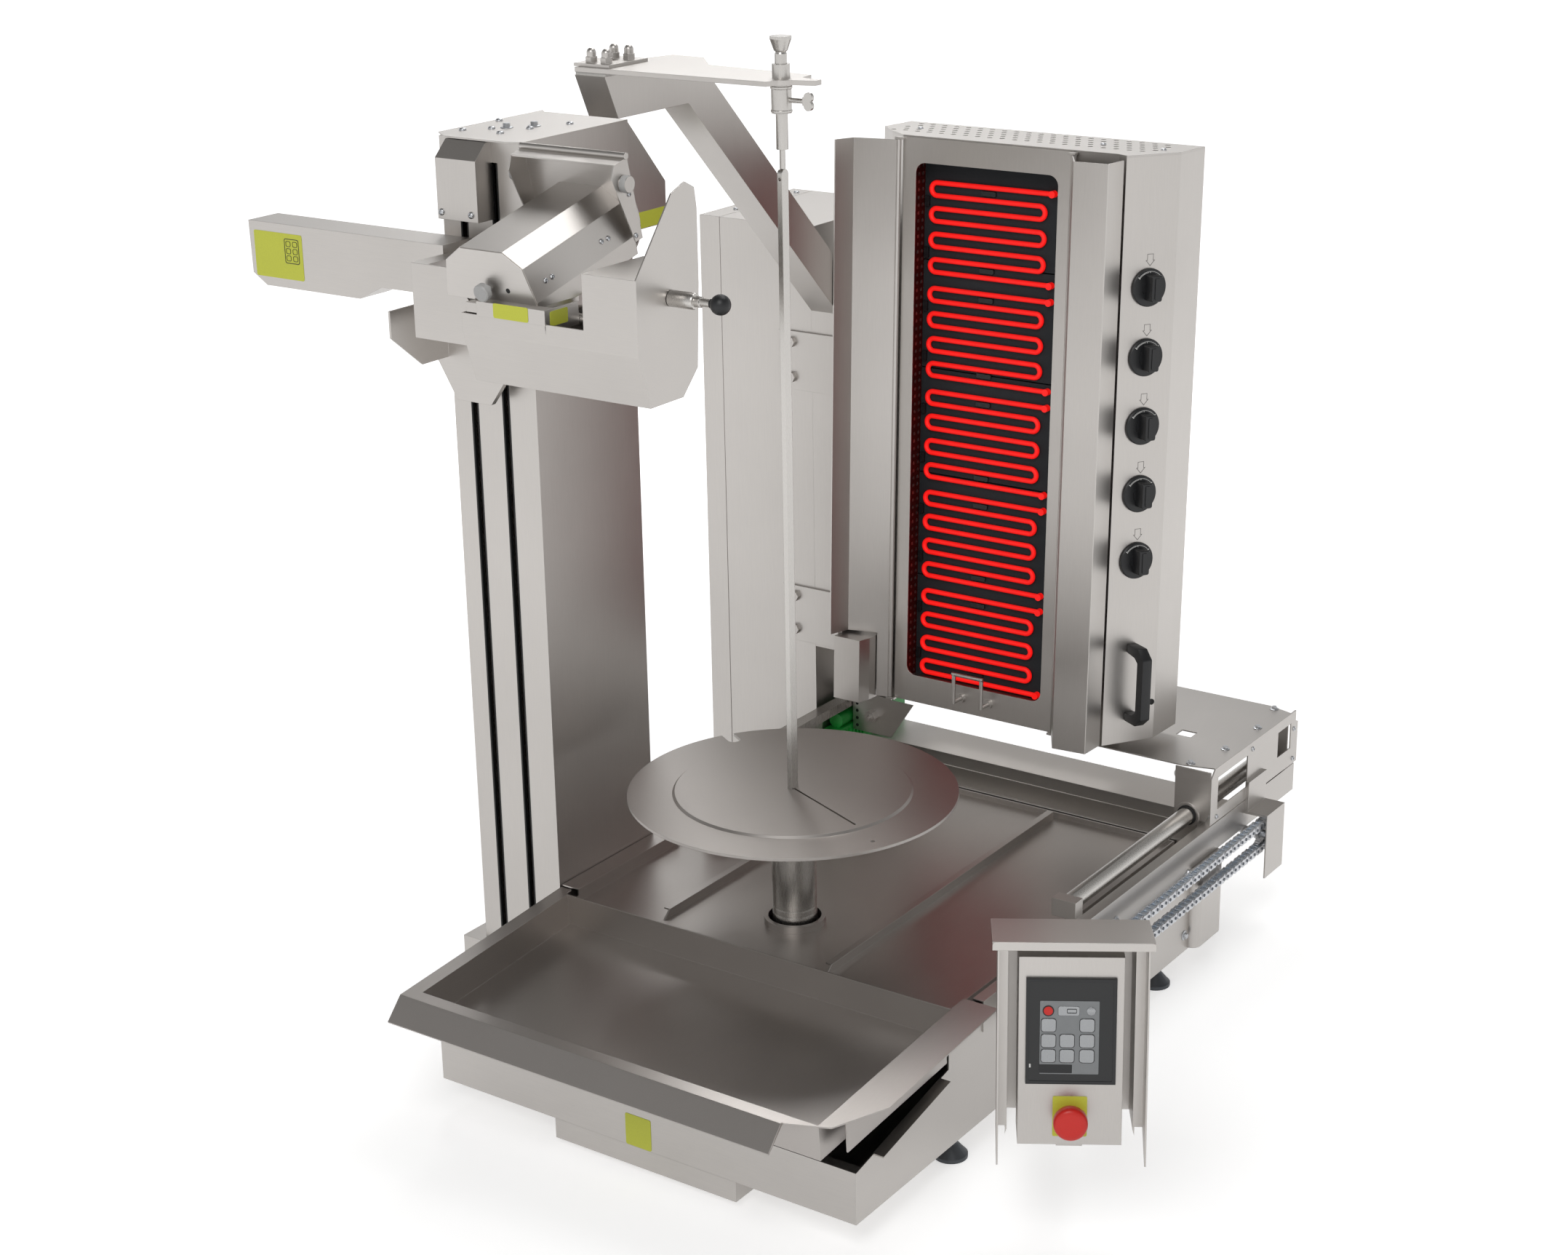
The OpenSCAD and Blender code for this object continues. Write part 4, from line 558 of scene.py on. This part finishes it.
# The lift carriage of folded sheet runs up and down the column on two rails. The key beam on its left
# is a closed box with a bare label and a film of six keys; two cross rods carry the knife head.
wear(steel_x, "lift_carriage", "key_beam")
wear(ground_steel, "cross_rods")
label("beam_label", 87, 61, on(-1026.5, 190, 1023.5, FRONT), "lift")
black_film = moulded("printed_black_film", "#2B2C22", 0.4, relief=0.05)
key_place = on(-1002, 189.6, 1031, FRONT)
bm = bmesh.new()
outline_strip(bm, rounded(26, 33, 3), rounded(24.2, 31.2, 2.4), 0.35, key_place)
for x in (-6, 6):
    for y in (-9.5, 0, 9.5):
        outline_strip(bm, rounded(8.4, 7.4, 2.2), rounded(7.2, 6.2, 1.7), 0.45,
                      key_place @ Matrix.Translation((x, y, 0)))
piece("key_film", bm, black_film, "lift")
bm = bmesh.new()
for x, z in ((-990, 1000), (-750, 1008), (-700, 1040)):
    button_screw(bm, on(x, 245, z, BACK), 4)
piece("beam_screws", bm, zinc, "lift")

# The knife head: a guard folded from sheet, the motor in a box with half an octagon on top, and a
# shroud that the round knife turns in. Small screws hold the motor's box and the shroud.
wear(steel_x, "knife_guard", "knife_motor", "knife_shroud")
MOTOR = BASE @ Matrix.Translation((-576, 95, 1036)) @ Matrix.Rotation(math.radians(14.2), 4, "X")
bm = bmesh.new()
cap = [(-70, -5.5), (70, -5.5), (70, 0.4), (59.3, 42.6), (32.5, 61.2), (-32.5, 61.2), (-59.3, 42.6),
       (-70, 0.4)]
loft(bm, [[(x, y, 0) for x, y in cap], [(x, y, 1.2) for x, y in cap]], on(0, 0, 0, FRONT))
piece("motor_cap", bm, steel_x, "knife_head", MOTOR)
bm = bmesh.new()
for low, high in (((-587, 78.8, 1014.5), (-481, 80, 1033)), ((-482.2, 80, 1005), (-481, 142, 1033)),
                  ((-587, 80, 1031.8), (-482.2, 96, 1033))):
    loft(bm, [[(low[0], low[1], z), (high[0], low[1], z), (high[0], high[1], z), (low[0], high[1], z)]
              for z in (low[2], high[2])])
piece("motor_cradle", bm, steel_x, "knife_head")
label("motor_label", 54, 18, on(-533.5, 78.8, 1024.5, FRONT), "knife_head")
label("cradle_label", 33, 18, on(-481, 105, 1021, RIGHT), "knife_head")
bm = bmesh.new()
for y, z in ((27.4, 16.8), (39.9, 16.1), (139.5, 17.3), (152.4, 15.8)):
    button_screw(bm, on(71 - 11 * z / 43, y, z, (43, 0, 11)), 3.4)
for s in (-1, 1):
    button_screw(bm, on(s * 82, 187, 6, (s, 0, 0)), 3.4)
    button_screw(bm, on(s * 82, 189, 60, (s, 0, 0)), 3.4)
piece("knife_head_screws", bm, zinc, "knife_head", MOTOR)
# A thin black disc on the cap stands for a hole in it: painted shade, drawn with the rubber material.
bm = bmesh.new()
turned(bm, [(3.2, 1.2), (3.2, 1.35)], on(30, 0, 12, FRONT), 20)
piece("cap_hole_painted_shade", bm, black_rubber_and_hole_shade, "knife_head", MOTOR)
bm = bmesh.new()
for s in (-1, 1):
    turned(bm, [(9.2, 8.2), (10.6, 9), (10.9, 12), (10.9, 16), (10.2, 17.2), (8, 17.6)],
           on(s * 74, 183, 76, (s, 0, 0)), 32)
grey_abs = moulded("moulded_grey_abs", "#B4B4B3", 0.35)
piece("shroud_knobs", bm, grey_abs, "knife_head", MOTOR)
bm = bmesh.new()
turned(bm, [(4.5, 0), (4.5, 166)], on(-83, 197, 106, RIGHT), 20)
piece("shroud_rolled_edge", bm, steel_x, "knife_head", MOTOR)
bm = bmesh.new()
loft(bm, [[(-513, 194, z), (-476, 194, z), (-476, 195.2, z), (-513, 195.2, z)] for z in (984, 1028)])
piece("window_plate", bm, steel_x, "knife_head")
label("window_label", 20, 20, on(-494, 194, 1014, FRONT), "knife_head")

# The round knife is a flat disc of stainless steel with a thicker hub, which turns on the motor's
# shaft in the shroud. It is ground, so it looks smooth and bright.
wear(ground_steel, "round_knife")

# A thumb screw holds the motor's cap. Its round, smooth grip is moulded in light grey plastic, dull
# with a soft highlight.
bm = bmesh.new()
turned(bm, [(4, 0.3), (4, 8), (9.6, 8), (11, 9.2), (11, 16.6), (9.8, 18), (6, 18.4)],
       on(0, 0, 12, FRONT), 40)
thumb = piece("knurled_thumb_screw", bm, grey_abs, "thumb_screw", MOTOR)
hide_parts("thumb_screw")

# The spring lock pin holds the head on its rods: a ground steel sleeve with a collar, and a moulded
# black ball knob on its end that shows one small highlight.
PIN = on(-344, 145, 1051, RIGHT)
bm = bmesh.new()
turned(bm, [(5, -58), (5, 0.4), (9.6, 0.6), (10, 1.4), (10, 34), (9, 36), (6.6, 36.4), (6.6, 44),
            (5, 45), (5, 64)], PIN)
sleeve = piece("lock_pin_sleeve", bm, ground_steel, "lock_pin")
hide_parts("lock_pin")
bm = bmesh.new()
BALL_R, BALL_MIDDLE = 12.4, 71.6
turned(bm, [(5.6, 58)] + [
    (BALL_R * math.sin(math.radians(a)), BALL_MIDDLE - BALL_R * math.cos(math.radians(a)))
    for a in range(28, 179, 10)], PIN, 36)
ball = piece("lock_pin_ball", bm, black_abs, "lock_pin")
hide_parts("lock_pin")

# The touch panel's box hangs on a swivel arm under a hood of bent sheet. The panel has a dark moulded
# frame and a grey display with plain keys. A red mushroom button sits on a bare yellow plate.
wear(steel_x, "panel_arm")
wear(steel_z, "panel_box")
dark_abs = moulded("moulded_anthracite_abs", "#2A2B2C", 0.42)
wear(dark_abs, "touch_panel")
PANEL_TURN, PANEL_LEAN = math.radians(31.5), math.radians(-5.5)
PANEL = BASE @ Matrix.Translation((205, 142, 255)) @ (
    Matrix.Rotation(PANEL_TURN, 4, "Z") @ Matrix.Rotation(PANEL_LEAN, 4, "X"))


def face_of_panel(x, z, y=-4.0):
    return on(x, y, z, FRONT)


bm = bmesh.new()
outline_strip(bm, rounded(103.4, 129.4, 2), rounded(96, 122, 2), 0.6, face_of_panel(0, 0))
piece("panel_bezel_edge", bm, moulded("moulded_black_rim", "#222325", 0.35), "control_panel", PANEL)
display = moulded("grey_display_glass", "#8A8D8F", 0.25, grain_mm=2.0, relief=0.01)
bm = bmesh.new()
cut_plate(bm, rounded(68, 90, 1), 0.4, face_of_panel(-2, -7))
piece("panel_display", bm, display, "control_panel", PANEL)
key_metal = brushed_steel("display_key_metal", "#A2A4A6", 0.26, "Z", grain_mm=1.5, edge_mm=0.6)
keys = [(x, z) for z in (8.4, -10.8, -29.5) for x in (-26, -4.6, 18.3)]
keys.remove((-4.6, 8.4))
bm = bmesh.new()
for x, z in keys:
    cut_plate(bm, rounded(17, 16.4, 3.4), 0.9, face_of_panel(x, z, -4.3), 0.5)
cut_plate(bm, rounded(25, 11.6, 2.4), 0.9, face_of_panel(-3, 26), 0.5)
turned(bm, [(5.2, 0), (5.2, 0.6), (4.6, 0.9)], face_of_panel(22.6, 26, -4.3))
piece("panel_keys", bm, key_metal, "control_panel", PANEL)
bm = bmesh.new()
cut_plate(bm, rounded(38, 10.6, 0.6), 0.3, face_of_panel(-17.5, -45.5, -4.35))
outline_strip(bm, rounded(11.4, 5.4, 1.2), rounded(10.2, 4.2, 0.8), 0.25, face_of_panel(0.5, 26, -5.2))
for x, z in keys:
    outline_strip(bm, rounded(17.8, 17.2, 3.6), rounded(16.6, 16, 3.2), 0.3, face_of_panel(x, z, -4.4))
turned(bm, [(6.7, 0), (6.7, 0.5), (5.4, 0.5), (5.4, 0.1)], face_of_panel(-26.5, 26, -4.3))
piece("panel_key_edges", bm, black_abs, "control_panel", PANEL)
stop_red = moulded("moulded_red_abs", "#DD2A22", 0.33)
bm = bmesh.new()
turned(bm, [(5.3, 0), (5.3, 0.9), (4.2, 1.3)], face_of_panel(-26.5, 26, -4.3))
piece("panel_off_key", bm, stop_red, "control_panel", PANEL)
bm = bmesh.new()
cut_plate(bm, rounded(3, 4.6, 0.5), 0.5, face_of_panel(-47.5, -42))
piece("panel_light", bm, white_print, "control_panel", PANEL)
bm = bmesh.new()
plate = rounded(40, 50, 2)
STEM_HOLE_R = 11.6
hole = [(STEM_HOLE_R * x / math.hypot(x, y), STEM_HOLE_R * y / math.hypot(x, y)) for x, y in plate]
outline_strip(bm, plate, hole, 0.8, face_of_panel(0, -106.5, 0))
piece("stop_plate", bm, yellow_film, "control_panel", PANEL)
bm = bmesh.new()
turned(bm, [(11, -20), (11, 11), (15, 12), (19, 13.5), (20, 16), (20, 24), (19.4, 26.6), (17.4, 28.6),
            (13, 29.7), (6, 30)], face_of_panel(0, -106, 0), 48)
mushroom = piece("mushroom_button", bm, stop_red, "stop_button", PANEL)
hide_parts("stop_button")
bm = bmesh.new()
loft(bm, [[(-17, y, -141.5), (17, y, -141.5), (15, y, -146.5), (-15, y, -146.5)] for y in (6, 8)])
piece("panel_tab", bm, steel_z, "control_panel", PANEL)
bm = bmesh.new()
lip = [(92, -5.5), (92, 1.5), (91, 3.6), (89, 4.4), (-89, 4.4), (-91, 3.6), (-92, 1.5), (-92, -5.5)]
cut_plate(bm, lip, 1.2, face_of_panel(0, 118.6, -40.1))
piece("hood_lip", bm, steel_x, "control_panel", PANEL)

# The camera stands where the photograph was taken: to the front right, a little above the machine.
# Its place is measured from where the spit's axis meets the floor.
LENS_MM, SENSOR_MM = 60.70, 36
EYE_FROM_AXIS = Vector((1.8482, -2.6538, 1.7567))
disc_low, disc_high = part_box("turntable")
axis_foot = Vector(((disc_low.x + disc_high.x) / 2, (disc_low.y + disc_high.y) / 2, 0))
yaw, pitch, roll = math.radians(34.998), math.radians(19.519), math.radians(-0.995)
look = Vector((-math.sin(yaw) * math.cos(pitch), math.cos(yaw) * math.cos(pitch), -math.sin(pitch)))
side = look.cross(Vector(UP)).normalized()
rise = side.cross(look)
right = side * math.cos(roll) + rise * math.sin(roll)
above = rise * math.cos(roll) - side * math.sin(roll)
camera_data = bpy.data.cameras.new("camera")
camera_data.lens = LENS_MM
camera_data.sensor_width = SENSOR_MM
camera_data.clip_end = 100
camera = bpy.data.objects.new("camera", camera_data)
bpy.context.collection.objects.link(camera)
camera.matrix_world = Matrix.Translation(axis_foot + EYE_FROM_AXIS) @ Matrix(
    (right, above, -look)).transposed().to_4x4()
bpy.context.scene.camera = camera


# The floor is plain white board. It glows for the camera, and less for reflections, so that it stays
# white; the glow is halved near the machine, where its shadow falls.
GLOSSY_SHARE = 0.72


def seen_rays(tree):
    path = add(tree, "ShaderNodeLightPath")
    glossy = add(tree, "ShaderNodeMath", {0: path.outputs["Is Glossy Ray"], 1: GLOSSY_SHARE},
                 operation="MULTIPLY")
    seen = add(tree, "ShaderNodeMath", {0: path.outputs["Is Camera Ray"], 1: glossy.outputs[0]},
               operation="MAXIMUM")
    return add(tree, "ShaderNodeMath", {0: seen.outputs[0], 1: path.outputs["Is Transmission Ray"]},
               operation="MAXIMUM").outputs[0]


floor_material, tree = new_material("matt_white_board")
board = add(tree, "ShaderNodeBsdfDiffuse", {"Color": colour("#F4F4F4")})
ground = add(tree, "ShaderNodeTexCoord").outputs["Object"]
reach = add(tree, "ShaderNodeVectorMath", {0: ground}, operation="LENGTH")
NEAR_M, FAR_M = 1.3, 3.0
far = add(tree, "ShaderNodeMapRange", {"Value": reach.outputs["Value"], "From Min": NEAR_M,
                                       "From Max": FAR_M, "To Min": 0.5, "To Max": 1.0})
white = add(tree, "ShaderNodeEmission", {"Color": colour("#FFFFFF"), "Strength": far.outputs[0]})
both = add(tree, "ShaderNodeAddShader", {0: board.outputs[0], 1: white.outputs[0]})
close(tree, add(tree, "ShaderNodeMixShader", {0: seen_rays(tree), 1: board.outputs[0], 2: both.outputs[0]}))
FLOOR_M = 40
floor_mesh = bpy.data.meshes.new("floor")
floor_mesh.from_pydata([(-FLOOR_M, -FLOOR_M, 0), (FLOOR_M, -FLOOR_M, 0), (FLOOR_M, FLOOR_M, 0),
                        (-FLOOR_M, FLOOR_M, 0)], [], [(0, 1, 2, 3)])
floor_mesh.materials.append(floor_material)
floor = bpy.data.objects.new("floor", floor_mesh)
bpy.context.collection.objects.link(floor)

# The studio is white at eye level with a darker ceiling, and the camera alone sees it plain white.
# Soft lamps hang above: the key to the front right, one over the machine and a rim behind on the left.
world = bpy.data.worlds.new("studio")
bpy.context.scene.world = world
world.use_nodes = True
sky = world.node_tree
sky.nodes.clear()
direction = add(sky, "ShaderNodeSeparateXYZ", {0: add(sky, "ShaderNodeTexCoord").outputs["Generated"]})
ceiling = add(sky, "ShaderNodeValToRGB", {"Fac": direction.outputs["Z"]})
ceiling.color_ramp.elements[0].position = 0.12
ceiling.color_ramp.elements[0].color = (1, 1, 1, 1)
ceiling.color_ramp.elements[1].position = 0.75
ceiling.color_ramp.elements[1].color = (0.16, 0.155, 0.15, 1)
room = add(sky, "ShaderNodeBackground", {"Color": ceiling.outputs["Color"], "Strength": 0.84})
backdrop = add(sky, "ShaderNodeBackground", {"Color": (1, 1, 1, 1), "Strength": 1.0})
camera_ray = add(sky, "ShaderNodeLightPath").outputs["Is Camera Ray"]
mixed = add(sky, "ShaderNodeMixShader", {0: camera_ray, 1: room.outputs[0], 2: backdrop.outputs[0]})
add(sky, "ShaderNodeOutputWorld", {"Surface": mixed.outputs[0]})


def lamp(name, place, target, size, watts):
    data = bpy.data.lights.new(name, "AREA")
    data.shape = "RECTANGLE"
    data.size, data.size_y = size
    data.energy = watts
    box = bpy.data.objects.new(name, data)
    bpy.context.collection.objects.link(box)
    box.location = place
    box.rotation_euler = (Vector(target) - Vector(place)).to_track_quat("-Z", "Y").to_euler()


lamp("key", place=(1.3, -3.4, 4.0), target=(0, 0, 0.6), size=(2.4, 2.4), watts=68)
lamp("top", place=(0.3, 0.9, 3.8), target=(-0.2, -0.4, 1.0), size=(1.5, 1.5), watts=22)
lamp("rim", place=(-1.6, 2.3, 3.4), target=(0, 0, 0.4), size=(1.8, 1.2), watts=38)

bpy.context.scene.view_settings.view_transform = "Standard"
